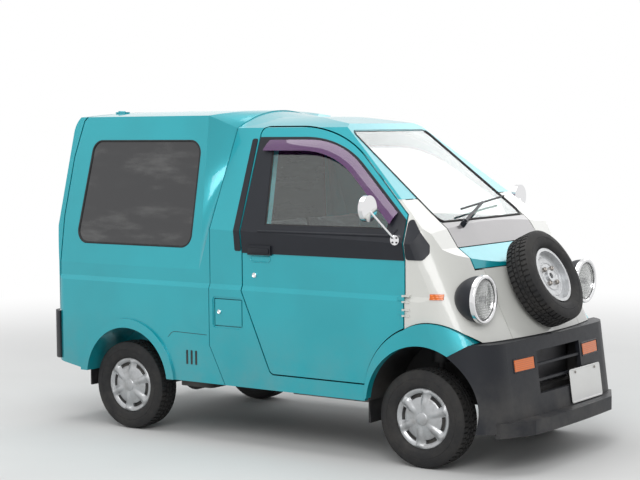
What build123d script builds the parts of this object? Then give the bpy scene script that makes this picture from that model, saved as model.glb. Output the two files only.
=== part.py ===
from build123d import *
import os
from copy import deepcopy
from math import atan, atan2, degrees

# A very small closed delivery van: a dome-shaped two-door cab, a box body behind it with a tailgate,
# four road wheels and a spare wheel on the sloping nose. Millimetres, +X forward, +Y to the van's left,
# +Z up, origin on the ground under the middle of the length. One-sided pieces are built on the right
# side, where y is negative, and mirrored.

os.makedirs("parts", exist_ok=True)

# Clearances, and a length that reaches past any piece
SEAM = 7.0
PANEL_GAP = 4.0
FIT = 0.3
MOVE_GAP = 5.5
FAR = 900.0

# Wheels and axles
WHEELBASE = 1840.0
FRONT_AXLE_X = 932.0
REAR_AXLE_X = FRONT_AXLE_X - WHEELBASE
TYRE_R = 235.0
TYRE_W = 140.0
TREAD_W = 112.0
TREAD_DROP = 4.0
HALF_TRACK = 545.0
BEAD_R = 128.0
FLANGE_R = 138.0
RIM_W = 104.0
RIM_WALL = 5.0
COVER_R = 144.0
COVER_BULGE = 14.0
COVER_T = 3.0
COVER_SLOTS = 6
SLOT_R = 110.0
SLOT_L = 54.0
SLOT_W = 20.0
HUB_R = 30.0
HUB_L = 24.0
SPINDLE_R = 15.0
DRUM_R = 88.0
DRUM_W = 40.0
KINGPIN_Y = 500.0
KINGPIN_R = 10.0
KINGPIN_REACH = 82.0
KNUCKLE_H = 120.0
KNUCKLE_W = 36.0
EYE_R = 19.0
EYE_H = 16.0
AXLE_R = 35.0
DIFF_R = 100.0
DIFF_W = 130.0
LEAF_W = 50.0
LEAF_T = 22.0
LEAF_REACH = 420.0
LEAF_RISE = 30.0

# Overall height, at the crown of the box's roof
BOX_CROWN_Z = 1694.0

# Lower body, shared by cab and box
BODY_Y = 648.0
SILL_Z = 300.0
CREASE_LOW_Z = 788.0
CREASE_HIGH_Z = 812.0
UPPER_Y = 636.0

# Cab cross-sections at its rear wall and at a station past the nose
CAB_REAR_X = -311.0
CAB_LOFT_X = 1350.0
CAB_WALL = 28.0
CAB_ROOF_Z = BOX_CROWN_Z - 32.0
ROOF_BREAK = (60.0, BOX_CROWN_Z - 39.0)
ROOF_FRONT = (450.0, BOX_CROWN_Z - 94.0)
CAB_CROWN_Z = BOX_CROWN_Z - 26.0
EAVE_Z = BOX_CROWN_Z - 94.0
REAR_SHOULDER_Z = 1090.0
REAR_EAVE_Y = 393.0
NOSE_SHOULDER_Z = 1040.0
NOSE_EAVE_Y = 274.0
SHOULDER_R = 220.0
EAVE_R = 70.0

# Nose and windscreen: slope as run over rise, a point on the centre line, and the crown in plan
NOSE_SLOPE = 0.482
NOSE_X = 1305.0
NOSE_Z = 588.0
NOSE_CROWN = 25.0
NOSE_CROWN_Y = 340.0
NOSE_CORNER_R = 220.0
SCREEN_SLOPE = 1.267
SCREEN_X = 927.0
SCREEN_Z = 1146.0
SCREEN_CROWN = 10.0
SCREEN_CROWN_Y = 410.0
SCREEN_CORNER_R = 45.0
COWL_TOP = (858.0, 1262.0)
COWL_LOW = (1012.0, 1030.0)
STRIP_LOW = (1160.0, 925.0)

# Panel edges of the nose
NOSE_SEAM_Y = 340.0
COWL_Y = 402.0
STRIP_Z = 933.0
COWL_Z = 1030.0
PILLAR_END_Z = 1256.0
PILLAR_END_X = 752.5
PILLAR_END_Y = 396.0
GLASS_T = 5.0
GLASS_DEPTH = 4.0
SCREEN_TOP_Z = BOX_CROWN_Z - 114.0
SCREEN_TOP_Y = 341.0
SCREEN_R = 34.0
SCREEN_FROM_X = 200.0

# Box body
BOX_REAR_X = -1418.0
BOX_LEAN_Z = 980.0
BOX_LEAN = 101.0
BOX_TOP_R = 130.0
BOX_SHOULDER_X = -385.0
BOX_WALL = 25.0
BOX_SHOULDER_Z = 880.0
BOX_EAVE_Z = BOX_CROWN_Z - 29.0
BOX_EAVE_Y = 540.0
BOX_EAVE_R = 120.0
BOX_REAR_R = 80.0
BOX_TAIL_Z = 345.0
BOX_TAIL_X = -1160.0
BOX_FLOOR_Z = 580.0
BOX_FLOOR_T = 20.0
BEAM_W = 45.0
BEAM_X = (-590.0, -1270.0)
PARTITION_T = 12.0
PARTITION_Z = 1000.0
FAIRING_X = 60.0
FAIRING_IN = 2.0
FAIRING_DIP = 30.0
KNEE_OVERLAP = 20.0
SEAM_KNEE_Z = 490.0
SEAM_FOOT_X = -215.0

# Box side window and tailgate
BOX_WINDOW_Z = (990.0, BOX_CROWN_Z - 158.0)
BOX_WINDOW = (
    (-1262.0, BOX_WINDOW_Z[0]),
    (-455.0, BOX_WINDOW_Z[0]),
    (-424.0, BOX_WINDOW_Z[1]),
    (-1174.0, BOX_WINDOW_Z[1]),
)
BOX_WINDOW_R = 66.0
GATE_T = 42.0
GATE_SKIN = 8.0
GATE_FLANGE = 16.0
GATE_LOW_Z = 618.0
GATE_EDGE = (
    (-1375.0, 618.0),
    (-1375.0, 800.0),
    (-1366.0, 1130.0),
    (-1320.0, BOX_CROWN_Z - 244.0),
    (-1288.0, BOX_CROWN_Z - 134.0),
    (-1262.0, BOX_CROWN_Z - 49.0),
    (-1195.0, BOX_CROWN_Z + 16.0),
)
GATE_WINDOW_Z = (1040.0, BOX_CROWN_Z - 194.0)
GATE_WINDOW = (
    (-470.0, GATE_WINDOW_Z[0]),
    (470.0, GATE_WINDOW_Z[0]),
    (420.0, GATE_WINDOW_Z[1]),
    (-420.0, GATE_WINDOW_Z[1]),
)
GATE_WINDOW_R = 50.0
GATE_AXIS = (-1208.0, BOX_CROWN_Z - 1.0)
GATE_HINGE_Y = 300.0
GATE_HINGE_R = 6.0
GATE_PIN_R = 3.5
GATE_HINGE_W = 24.0
GATE_LEAF = 36.0

# Wheel arches
FRONT_ARCH = (955.0, 285.0)
FRONT_ARCH_R = 300.0
REAR_ARCH = (-880.0, 265.0)
REAR_ARCH_R = 285.0
ARCH_LIP = 48.0
LIP_OUT = 12.0
WELL_Y = 345.0
REAR_WELL_Y = 400.0
WELL_T = 8.0
FLARE_REAR = (1000.0, 325.0)
FLARE_REAR_R = 356.0
FLARE_TOP = (1003.0, 422.0)
FLARE_TOP_R = 270.0
FLARE_OUT = 14.0
FLARE_GAP = 9.0

# Doors, side view
DOOR_FRONT_X = 860.0
DOOR_FRONT_TOP = (830.0, 1185.0)
DOOR_T = 44.0
DOOR_SKIN = 8.0
DOOR_FLANGE = 16.0
DOOR_LOW_Z = 383.0
DOOR_TOP_Z = EAVE_Z + 2.0
DOOR_TOP_X = 311.0
DOOR_TOP_R = 700.0
DOOR_REAR = ((-158.0, DOOR_TOP_Z), (-100.0, 977.0), (-100.0, 788.0), (80.0, DOOR_LOW_Z))
DOOR_REAR_R = 32.0
DOOR_INSIDE = ((560.0, 1000.0), (518.0, 1120.0), (233.0, DOOR_TOP_Z + 88.0))
BELT_Z = 977.0
WINDOW_TOP_Z = DOOR_TOP_Z - 102.0
WINDOW = ((29.0, 1120.0), (744.0, 1120.0), (728.0, 1205.0), (352.0, WINDOW_TOP_Z), (-61.0, WINDOW_TOP_Z))
WINDOW_R = 480.0
WINDOW_CORNER_R = 22.0
TRIM_OUT = 4.0
TRIM_TOP = ((900.0, 1112.0), (330.0, DOOR_TOP_Z - 49.0))
TRIM_R = 620.0
DOOR_AXIS_X = 863.0
DOOR_AXIS_Y = 654.0
HINGE_Z = (735.0, 800.0)
HINGE_R = 7.0
HINGE_PIN_R = 4.0
HINGE_H = 18.0
HINGE_LEAF = 32.0
HANDLE_X = (-60.0, 84.0)
HANDLE_Z = (970.0, 1018.0)
HANDLE_OUT = 14.0

# Black trim beside the doors
TRIANGLE = ((869.0, 981.0), (955.0, 981.0), (976.0, 1012.0), (970.0, 1050.0), (925.0, 1112.0), (842.0, 1200.0))
STRIP_R = 10.0
STRIP = ((-148.0, 985.0), (-109.0, 985.0), (-167.0, DOOR_TOP_Z - 57.0), (-198.0, DOOR_TOP_Z - 57.0))

# Fuel lid
LID_X = (-275.0, -110.0)
LID_Z = (604.0, 736.0)
LID_T = 6.0
LID_IN = 4.0
LID_BORDER = 14.0
LID_POCKET = 18.0
LID_R = 18.0
LID_PIN_R = 2.0
LID_BARREL_R = 4.0

# Front bumper
BUMPER_TOP_Z = 604.0
BUMPER_X = 1337.0
BUMPER_Z = 500.0
BUMPER_SLOPE = 0.13
BUMPER_CROWN = 12.0
BUMPER_CROWN_Y = 400.0
BUMPER_Y = 667.0
BUMPER_WALL = 22.0
BUMPER_CORNER_R = 200.0
BUMPER_REAR_X = 1060.0
BUMPER_LOW_Z = 200.0
LIP_X = 1436.0
LIP_Z = 178.0
LIP_TOP_Z = 246.0
LIP_FRONT_Y = 400.0
LIP_CORNER = (1335.0, 583.0)
LIP_INSIDE = (1348.0, 480.0)
SHELF_X = 1212.0
SHELF_Y = 585.0
ARCH_POINT = (1090.0, 536.0)
NOSE_POINT = (1205.0, 604.0)
GRILLE_Y = 222.0
GRILLE_Z = (340.0, 541.0)
GRILLE_BARS = (401.0, 474.0)
GRILLE_BAR = 12.0
INDICATOR_Y = 340.0
INDICATOR_Z = 492.0
INDICATOR_W = 172.0
INDICATOR_H = 54.0
INDICATOR_IN = 14.0
MARKER = ((1000.0, 802.0), (1058.0, 802.0), (1058.0, 828.0), (1000.0, 828.0))

# Rear bumper and lamps
TAIL_X = -1450.0
TAIL_SIDE_X = -1366.0
TAIL_Z = (352.0, 611.0)
TAIL_Y = 656.0
TAIL_R = 95.0
TAIL_LAMP_Y = 530.0
TAIL_LAMP_Z = 500.0
TAIL_LAMP_W = 150.0
TAIL_LAMP_H = 110.0
TAIL_LAMP_IN = 14.0

# Head lamps
LAMP_X = 1206.0
LAMP_Y = 519.0
LAMP_Z = 805.0
RING_R = 113.0
RING_IN_R = 94.0
RING_DEPTH = 22.0
POD_R = 108.0
POD_MID = (95.0, 76.0)
POD_L = 140.0
LENS_BULGE = 10.0
LENS_SPHERE_R = 440.0

# Spare wheel on the nose
SPARE_X = 1259.0
SPARE_Z = 861.0
SPARE_TILT = degrees(atan(NOSE_SLOPE))
SPARE_W = 136.0
CARRIER_R = 62.0

# Ladder frame, floor and masses under it
RAIL_Y = 290.0
RAIL_W = 50.0
RAIL_H = 80.0
RAIL_FRONT_X = 1326.5
RAIL_REAR_X = -1385.0
FLOOR_Z = 352.0
FLOOR_T = 8.0
KICK_X = (-330.0, -620.0)
REAR_RAIL_Z = 330.0
CROSS_X = (1275.0, 520.0, -620.0, -1350.0)
CROSS_W = 45.0
SEAT_BOX_X = (-285.0, 470.0)
SEAT_BOX_Y = 520.0
SEAT_BOX_Z = 548.0
TOE_X = 880.0
TOE_Z = 1110.0
ENGINE = ((-100.0, -220.0, 205.0), (440.0, 220.0, 540.0))
GEARBOX = ((-300.0, -110.0, 215.0), (-100.0, 110.0, 345.0))
RADIATOR = ((1215.0, -235.0, 300.0), (1252.5, 235.0, 560.0))
RIB_Y = 300.0
RIB_T = 6.0
TANK = ((-560.0, -600.0, 265.0), (-340.0, -315.0, 500.0))
TANK_R = 30.0
PIPE_Y = 170.0
PIPE_Z = 312.0
PIPE_R = 18.0
MUFFLER_R = 58.0
MUFFLER_X = (-1300.0, -1060.0)
PIPE_END_X = -1440.0
HOOK_X = 1312.0
HOOK_Y = -300.0
HOOK_Z = 160.0
HOOK_R = 22.0
HOOK_BORE_R = 14.0
HOOK_T = 12.0

# Pads under the frame for a jack
JACK_X = (170.0, 230.0)
JACK_T = 10.0

# Front springs
STRUT_Y = 425.0
STRUT_R = 18.0
COIL_R = 42.0
COIL_Z = 485.0
ARM_T = 16.0

# Cab interior
DASH = ((880.0, 790.0), (880.0, 1070.0), (770.0, 1085.0), (660.0, 1015.0), (670.0, 930.0), (715.0, 790.0))
DASH_Y = 540.0
WHEEL_X = 545.0
WHEEL_Y = -235.0
WHEEL_Z = 985.0
WHEEL_R = 178.0
WHEEL_GRIP_R = 13.0
WHEEL_TILT = 50.0
COLUMN_R = 20.0
COLUMN_L = 240.0
SEAT_Y = 245.0
SEAT_W = 440.0
CUSHION = ((-180.0, 548.0), (430.0, 548.0), (440.0, 650.0), (0.0, 632.0), (-180.0, 632.0))
BACK = ((-150.0, 632.0), (-40.0, 632.0), (-110.0, 1150.0), (-200.0, 1150.0))
SEAT_R = 24.0

# Small outside pieces
MIRROR_BASE = (812.0, 612.0, 1072.0)
MIRROR_BASE_R = 24.0
MIRROR_BASE_Y = 646.0
MIRROR_HEAD = (706.0, 730.0, 1221.0)
MIRROR_R = 62.0
MIRROR_T = 24.0
MIRROR_ARM_R = 5.0
FLAP_T = 6.0
FLAP_Y = (480.0, 616.0)
FRONT_FLAP_Z = (190.0, 340.0)
REAR_FLAP_Z = (215.0, 330.0)
WIPER_LIFT = 22.0
WIPER_PIVOT = (-255.0, -30.0)
WIPER_TIP = (70.0, 88.0)
BLADE_FROM = (-190.0, 52.0)
BLADE_TO = (330.0, 120.0)
WIPER_W = 14.0
WIPER_T = 8.0


def finish(part, name):
    """Label one sub-part and write it to its own file."""
    part.label = name
    export_step(part, f"parts/{name}.step")
    return part


def mirrored(part):
    """The same piece on the other side of the van."""
    with BuildPart() as twin:
        mirror(part, about=Plane.XZ)
    return twin.part


def pair(part):
    """A piece and its mirror image as one sub-part."""
    with BuildPart() as both:
        add(part)
        mirror(about=Plane.XZ)
    return both.part


def panel(outer, cuts=(), regions=(), joined=()):
    """Keep what lies in all the regions, cut it, then join more solids to it."""
    with BuildPart() as result:
        add(deepcopy(outer))
        for region in regions:
            add(deepcopy(region), mode=Mode.INTERSECT)
        for cut in cuts:
            add(deepcopy(cut), mode=Mode.SUBTRACT)
        for piece in joined:
            add(piece)
    return result.part


def block(low, high, radius=0):
    """Plain block between two opposite corners, its upright edges rounded."""
    size = [b - a for a, b in zip(low, high)]
    middle = [(a + b) / 2 for a, b in zip(low, high)]
    with BuildPart() as result:
        with Locations(tuple(middle)):
            Box(*size)
        if radius:
            fillet(result.edges().filter_by(Axis.Z), radius)
    return result.part


def side_face(points, radius=0):
    """Polygon in side view, its corners rounded."""
    with BuildSketch(Plane.XZ) as face:
        with BuildLine():
            Polyline(*points, close=True)
        make_face()
        if radius:
            fillet(face.vertices(), radius)
    return face.sketch


def across(sketch, y_from, y_to):
    """Carry a side-view sketch from one y to another."""
    with BuildPart() as result:
        extrude(sketch.moved(Location((0, y_from, 0))), amount=y_from - y_to)
    return result.part


def along(points, x_from, x_to, radius=0):
    """Front-view polygon of y and z, carried from one x to another."""
    with BuildPart() as result:
        with BuildSketch(Plane.YZ.offset(x_from)) as face:
            with BuildLine():
                Polyline(*points, close=True)
            make_face()
            if radius:
                fillet(face.vertices(), radius)
        extrude(amount=x_to - x_from)
    return result.part


def rod(start, end, radius, bore=0):
    """Round bar or tube between two points."""
    direction = Vector(*end) - Vector(*start)
    with BuildPart() as result:
        with BuildSketch(Plane(origin=start, z_dir=direction)):
            Circle(radius)
            if bore:
                Circle(bore, mode=Mode.SUBTRACT)
        extrude(amount=direction.length)
    return result.part


def disc_y(centre, radius, y_from, y_to, bore=0):
    """Disc or ring seen in side view, between two y values."""
    x, z = centre
    return rod((x, y_from, z), (x, y_to, z), radius, bore)


def body_section(x, shoulder, eave, crown_z, radii, inset):
    """Closed cross-section of cab or box at one station, moved in by the inset."""
    low = SILL_Z - FAR / 4
    side = [(BODY_Y, low), (BODY_Y, CREASE_LOW_Z), (UPPER_Y, CREASE_HIGH_Z), shoulder, eave]
    with BuildSketch(Plane.YZ.offset(x)) as section:
        with BuildLine():
            Polyline(*side)
            Polyline(*[(-y, z) for y, z in side])
            ThreePointArc(eave, (0, crown_z), (-eave[0], eave[1]))
            Line((BODY_Y, low), (-BODY_Y, low))
        make_face()
        for (_, corner_z), radius in zip((shoulder, eave), radii):
            fillet(section.vertices().filter_by(lambda v: abs(v.Z - corner_z) < 1), radius)
        if inset:
            offset(amount=-inset)
    return section.sketch


def leaning_plan(front, crown, crown_y, half_width, corner_r, slope, inset):
    """Plan outline of nose, screen or bumper, carried up along its slope."""
    front_x, front_z = front
    base_z = SILL_Z - FAR / 4
    base_x = front_x + slope * (front_z - base_z)
    side_x = base_x - crown * (half_width / crown_y) ** 2
    with BuildPart() as prism:
        with BuildSketch(Plane.XY.offset(base_z)) as plan:
            with BuildLine():
                ThreePointArc((side_x, -half_width), (base_x, 0), (side_x, half_width))
                Polyline((side_x, half_width), (-2 * FAR, half_width))
                Polyline((-2 * FAR, half_width), (-2 * FAR, -half_width), (side_x, -half_width))
            make_face()
            fillet(plan.vertices().filter_by(lambda v: v.X > 0), corner_r)
            if inset:
                offset(amount=-inset)
        extrude(amount=2 * FAR * Vector(slope, 0, 1).length, dir=(-slope, 0, 1))
    return prism.part


def cab_form(inset):
    """Solid with the outer shape of cab and nose, moved in by the inset."""
    rear_shape = ((UPPER_Y, REAR_SHOULDER_Z), (REAR_EAVE_Y, EAVE_Z))
    nose_shape = ((UPPER_Y, NOSE_SHOULDER_Z), (NOSE_EAVE_Y, EAVE_Z))
    radii = (SHOULDER_R, EAVE_R)
    rear = body_section(CAB_REAR_X - max(inset, 0), *rear_shape, CAB_CROWN_Z, radii, inset)
    nose = body_section(CAB_LOFT_X, *nose_shape, CAB_CROWN_Z, radii, inset)
    nose_plan = leaning_plan(
        (NOSE_X, NOSE_Z), NOSE_CROWN, NOSE_CROWN_Y, BODY_Y, NOSE_CORNER_R, NOSE_SLOPE, inset
    )
    screen_plan = leaning_plan(
        (SCREEN_X, SCREEN_Z), SCREEN_CROWN, SCREEN_CROWN_Y, BODY_Y, SCREEN_CORNER_R, SCREEN_SLOPE, inset
    )
    low = SILL_Z - 2 * inset
    with BuildPart() as form:
        loft([rear, nose], ruled=True)
        with BuildSketch(Plane.XZ) as profile:
            with BuildLine():
                Polyline(
                    (CAB_REAR_X - FAR, low),
                    (CAB_REAR_X - FAR, CAB_ROOF_Z),
                    ROOF_BREAK,
                    ROOF_FRONT,
                    COWL_TOP,
                    COWL_LOW,
                    STRIP_LOW,
                    (STRIP_LOW[0] + FAR, STRIP_LOW[1]),
                    (STRIP_LOW[0] + FAR, low),
                    close=True,
                )
            make_face()
            fillet(profile.vertices().filter_by(lambda v: abs(v.X - ROOF_BREAK[0]) < 1), FAR)
            if inset:
                offset(amount=-inset)
        extrude(amount=FAR, both=True, mode=Mode.INTERSECT)
        add(nose_plan, mode=Mode.INTERSECT)
        add(screen_plan, mode=Mode.INTERSECT)
    return form.part


def box_form(inset):
    """Solid with the outer shape of the box body, moved in by the inset."""
    shape = ((UPPER_Y, BOX_SHOULDER_Z), (BOX_EAVE_Y, BOX_EAVE_Z))
    cab_shape = ((UPPER_Y, REAR_SHOULDER_Z), (REAR_EAVE_Y, EAVE_Z))
    radii = (SHOULDER_R, BOX_EAVE_R)
    stations = (
        (BOX_REAR_X - FAR, shape, radii),
        (BOX_SHOULDER_X - max(inset, 0), shape, radii),
        (CAB_REAR_X - PANEL_GAP, cab_shape, (SHOULDER_R, EAVE_R)),
        (CAB_REAR_X + BOX_WALL, cab_shape, (SHOULDER_R, EAVE_R)),
    )
    sections = [body_section(x, *outline, BOX_CROWN_Z, turns, inset) for x, outline, turns in stations]
    if inset <= 0:
        sections.pop()
    low = SILL_Z - 2 * inset
    with BuildPart() as form:
        for first, second in zip(sections, sections[1:]):
            loft([first, second], ruled=True)
        with BuildSketch(Plane.XZ) as profile:
            with BuildLine():
                Polyline(
                    (CAB_REAR_X + FAR, low),
                    (CAB_REAR_X + FAR, BOX_CROWN_Z),
                    (BOX_REAR_X + BOX_LEAN, BOX_CROWN_Z),
                    (BOX_REAR_X, BOX_LEAN_Z),
                    (BOX_REAR_X, BOX_TAIL_Z - 2 * inset),
                    (BOX_TAIL_X, low),
                    close=True,
                )
            make_face()
            fillet(profile.vertices().filter_by(lambda v: abs(v.X - BOX_REAR_X - BOX_LEAN) < 1), BOX_TOP_R)
            if inset:
                offset(amount=-inset)
        extrude(amount=FAR, both=True, mode=Mode.INTERSECT)
        with BuildSketch(Plane.XY) as plan:
            with BuildLine():
                Polyline((FAR, BODY_Y), (BOX_REAR_X, BODY_Y), (BOX_REAR_X, -BODY_Y), (FAR, -BODY_Y), close=True)
            make_face()
            fillet(plan.vertices().filter_by(lambda v: v.X < 0), BOX_REAR_R)
            if inset:
                offset(amount=-inset)
        extrude(amount=2 * FAR, mode=Mode.INTERSECT)
    return form.part


def bumper_form(inset):
    """Solid with the outer shape of the front bumper, moved in by the inset."""
    plan = leaning_plan(
        (BUMPER_X, BUMPER_Z), BUMPER_CROWN, BUMPER_CROWN_Y, BUMPER_Y, BUMPER_CORNER_R, BUMPER_SLOPE, inset
    )
    return panel(plan, regions=[block((BUMPER_REAR_X, -FAR, BUMPER_LOW_Z), (2 * FAR, FAR, BUMPER_TOP_Z - inset))])


def door_outline(grow):
    """Side-view outline of a door, grown all round by the given gap."""
    with BuildSketch(Plane.XZ) as outline:
        with BuildLine():
            Polyline(
                (DOOR_FRONT_X, DOOR_LOW_Z),
                (DOOR_FRONT_X, BELT_Z),
                DOOR_FRONT_TOP,
                (DOOR_TOP_X, DOOR_TOP_Z),
                *DOOR_REAR,
                close=True,
            )
        make_face()
        fillet(outline.vertices().filter_by(lambda v: abs(v.X - DOOR_TOP_X) < 1), DOOR_TOP_R)
        ends = (DOOR_REAR[0][0], DOOR_REAR[-1][0])
        fillet(outline.vertices().filter_by(lambda v: min(abs(v.X - x) for x in ends) < 1), DOOR_REAR_R)
        with Locations(FLARE_REAR):
            Circle(FLARE_REAR_R + FLARE_GAP, mode=Mode.SUBTRACT)
        if grow:
            offset(amount=grow, kind=Kind.INTERSECTION)
    return outline.sketch


def window_outline(shrink):
    """Side-view outline of the door's glass opening."""
    with BuildSketch(Plane.XZ) as outline:
        with BuildLine():
            Polyline(*WINDOW, close=True)
        make_face()
        fillet(outline.vertices().filter_by(lambda v: abs(v.X - WINDOW[3][0]) < 1), WINDOW_R)
        fillet(outline.vertices().filter_by(lambda v: abs(v.Z - WINDOW[0][1]) < 1), WINDOW_CORNER_R)
        if shrink:
            offset(amount=-shrink)
    return outline.sketch


def screen_outline(shrink):
    """Windscreen opening seen from the front, carried through the screen only."""
    low, high = SCREEN_Z + shrink, SCREEN_TOP_Z - shrink
    low_y, high_y = COWL_Y + PANEL_GAP - shrink, SCREEN_TOP_Y - shrink
    points = ((-low_y, low), (low_y, low), (high_y, high), (-high_y, high))
    return along(points, SCREEN_FROM_X, 2 * FAR, SCREEN_R)


def gate_outline(shrink):
    """Side-view region behind the tailgate's edge."""
    with BuildSketch(Plane.XZ) as outline:
        with BuildLine():
            Polyline(*GATE_EDGE, (BOX_REAR_X - FAR, GATE_EDGE[-1][1]), (BOX_REAR_X - FAR, GATE_LOW_Z), close=True)
        make_face()
        if shrink:
            offset(amount=-shrink, kind=Kind.INTERSECTION)
    return outline.sketch


def tyre(width):
    """Tyre ring about the Y axis."""
    half = width / 2
    bead = RIM_W / 2 - (FLANGE_R - BEAD_R) / 2 - FIT
    shoulder = TREAD_W / 2 - (TYRE_W - width) / 2
    side_low, side_mid, side_top = (bead, COVER_R + FIT), (half, (COVER_R + TYRE_R) / 2), (shoulder, TYRE_R - TREAD_DROP)
    with BuildPart() as ring:
        with BuildSketch(Plane.YZ):
            with BuildLine():
                for sign in (1, -1):
                    Line((sign * bead, BEAD_R + FIT), (sign * bead, side_low[1]))
                    ThreePointArc(*[(sign * y, r) for y, r in (side_low, side_mid, side_top)])
                ThreePointArc(side_top, (0, TYRE_R), (-side_top[0], side_top[1]))
                Line((-bead, BEAD_R + FIT), (bead, BEAD_R + FIT))
            make_face()
        revolve(axis=Axis.Y)
    return ring.part


def rim(cover):
    """Wheel about the Y axis, its outer side towards -Y."""
    half = RIM_W / 2
    flange_t = (FLANGE_R - BEAD_R) / 2
    disc_y_out = half / 2
    with BuildPart() as wheel:
        with BuildSketch(Plane.YZ):
            with Locations((0, BEAD_R - RIM_WALL / 2)):
                Rectangle(RIM_W, RIM_WALL)
            for sign in (1, -1):
                with Locations((sign * (half - flange_t / 2), (FLANGE_R + BEAD_R) / 2 - RIM_WALL / 2)):
                    Rectangle(flange_t, FLANGE_R - BEAD_R + RIM_WALL)
            with Locations((-disc_y_out, (BEAD_R + SPINDLE_R) / 2)):
                Rectangle(RIM_WALL, BEAD_R - SPINDLE_R - RIM_WALL)
            with Locations((-disc_y_out, (HUB_R + SPINDLE_R + FIT) / 2)):
                Rectangle(HUB_L, HUB_R - SPINDLE_R - FIT)
        revolve(axis=Axis.Y)
        if cover:
            with BuildSketch(Plane.YZ):
                with BuildLine():
                    ThreePointArc((-half, COVER_R), (-half - COVER_BULGE * 0.7, COVER_R / 2), (-half - COVER_BULGE, 0))
                    Line((-half - COVER_BULGE, 0), (-half - COVER_BULGE + COVER_T, 0))
                    ThreePointArc(
                        (-half - COVER_BULGE + COVER_T, 0),
                        (-half - COVER_BULGE * 0.7 + COVER_T, COVER_R / 2),
                        (-half + COVER_T, COVER_R),
                    )
                    Line((-half + COVER_T, COVER_R), (-half, COVER_R))
                make_face()
            revolve(axis=Axis.Y)
            with BuildSketch(Plane.XZ.offset(half + COVER_T)):
                with PolarLocations(0, COVER_SLOTS):
                    with Locations((SLOT_R, 0)):
                        SlotOverall(SLOT_L, SLOT_W, rotation=90)
            extrude(amount=COVER_BULGE * 2, mode=Mode.SUBTRACT)
        with BuildSketch(Plane.XZ.offset(-half)):
            Circle(SPINDLE_R + FIT)
        extrude(amount=RIM_W - COVER_T, mode=Mode.SUBTRACT)
    return wheel.part


# Forms shared by several panels
cab_outer = cab_form(0)
cab_inner = cab_form(CAB_WALL)
cab_fit = cab_form(CAB_WALL + FIT)
cab_door_inner = cab_form(DOOR_T)
cab_skin_inner = cab_form(DOOR_SKIN)
cab_glass_outer = cab_form(GLASS_DEPTH)
cab_glass_inner = cab_form(GLASS_DEPTH + GLASS_T)
cab_trim_outer = cab_form(-TRIM_OUT)
cab_flare_outer = cab_form(-FLARE_OUT)
box_outer = box_form(0)
box_inner = box_form(BOX_WALL)
box_skin_inner = box_form(GATE_SKIN)
box_gate_inner = box_form(GATE_T)
box_glass_outer = box_form(GLASS_DEPTH)
box_glass_inner = box_form(GLASS_DEPTH + GLASS_T)
bumper_outer = bumper_form(0)
bumper_inner = bumper_form(BUMPER_WALL)
bumper_lens_outer = bumper_form(-PANEL_GAP / 2)
bumper_lens_inner = bumper_form(INDICATOR_IN)

# Regions used by several panels
right_half = block((-3 * FAR, -2 * FAR, -FAR), (3 * FAR, 0, 3 * FAR))
nose_edge = (
    (DOOR_FRONT_X + SEAM - FIT, 0),
    (DOOR_FRONT_X + SEAM - FIT, BELT_Z),
    (DOOR_FRONT_TOP[0] + SEAM - 2 * FIT, DOOR_FRONT_TOP[1] + SEAM / 2),
    (PILLAR_END_X, PILLAR_END_Z),
    (3 * FAR, PILLAR_END_Z),
    (3 * FAR, 0),
)
nose_region = across(side_face(nose_edge), -FAR, FAR)
front_arch_cut = disc_y(FRONT_ARCH, FRONT_ARCH_R, -FAR, -WELL_Y)
flare_rear_disc = disc_y(FLARE_REAR, FLARE_REAR_R, -FAR, -WELL_Y)
flare_top_disc = disc_y(FLARE_TOP, FLARE_TOP_R, -FAR, -WELL_Y)
flare_rear_gap = disc_y(FLARE_REAR, FLARE_REAR_R + PANEL_GAP, -FAR, -WELL_Y)
flare_top_gap = disc_y(FLARE_TOP, FLARE_TOP_R + PANEL_GAP, -FAR, -WELL_Y)
screen_cut = screen_outline(0)
door_side_regions = []
for gap in (0, SEAM):
    inside = [(-y - gap, z) for y, z in DOOR_INSIDE]
    outside = [(inside[0][0], 0), *inside, (-FAR, 3 * FAR), (-FAR, 0)]
    door_side_regions.append(along(outside, -FAR, 2 * FAR))
door_cut = panel(across(door_outline(SEAM), -FAR, 0), regions=[door_side_regions[0]])
door_side_region = door_side_regions[1]
door_full = across(door_outline(0), -FAR, 0)
door_inset = across(door_outline(-DOOR_FLANGE), -FAR, 0)
window_cut = across(window_outline(0), -FAR, 0)
window_glass = across(window_outline(FIT), -FAR, 0)
knee_points = (
    (CAB_REAR_X - FAR, SILL_Z - FAR),
    (SEAM_FOOT_X, SILL_Z - FAR),
    (SEAM_FOOT_X, SILL_Z),
    (CAB_REAR_X, SEAM_KNEE_Z),
    (CAB_REAR_X - FAR, SEAM_KNEE_Z),
)
knee_cut = across(side_face([(x + PANEL_GAP, z) for x, z in knee_points]), -FAR, FAR)
bumper_top_cut = across(
    side_face((ARCH_POINT, NOSE_POINT, (NOSE_POINT[0], FAR), (0, FAR), (0, ARCH_POINT[1]))), -FAR, FAR
)

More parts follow.
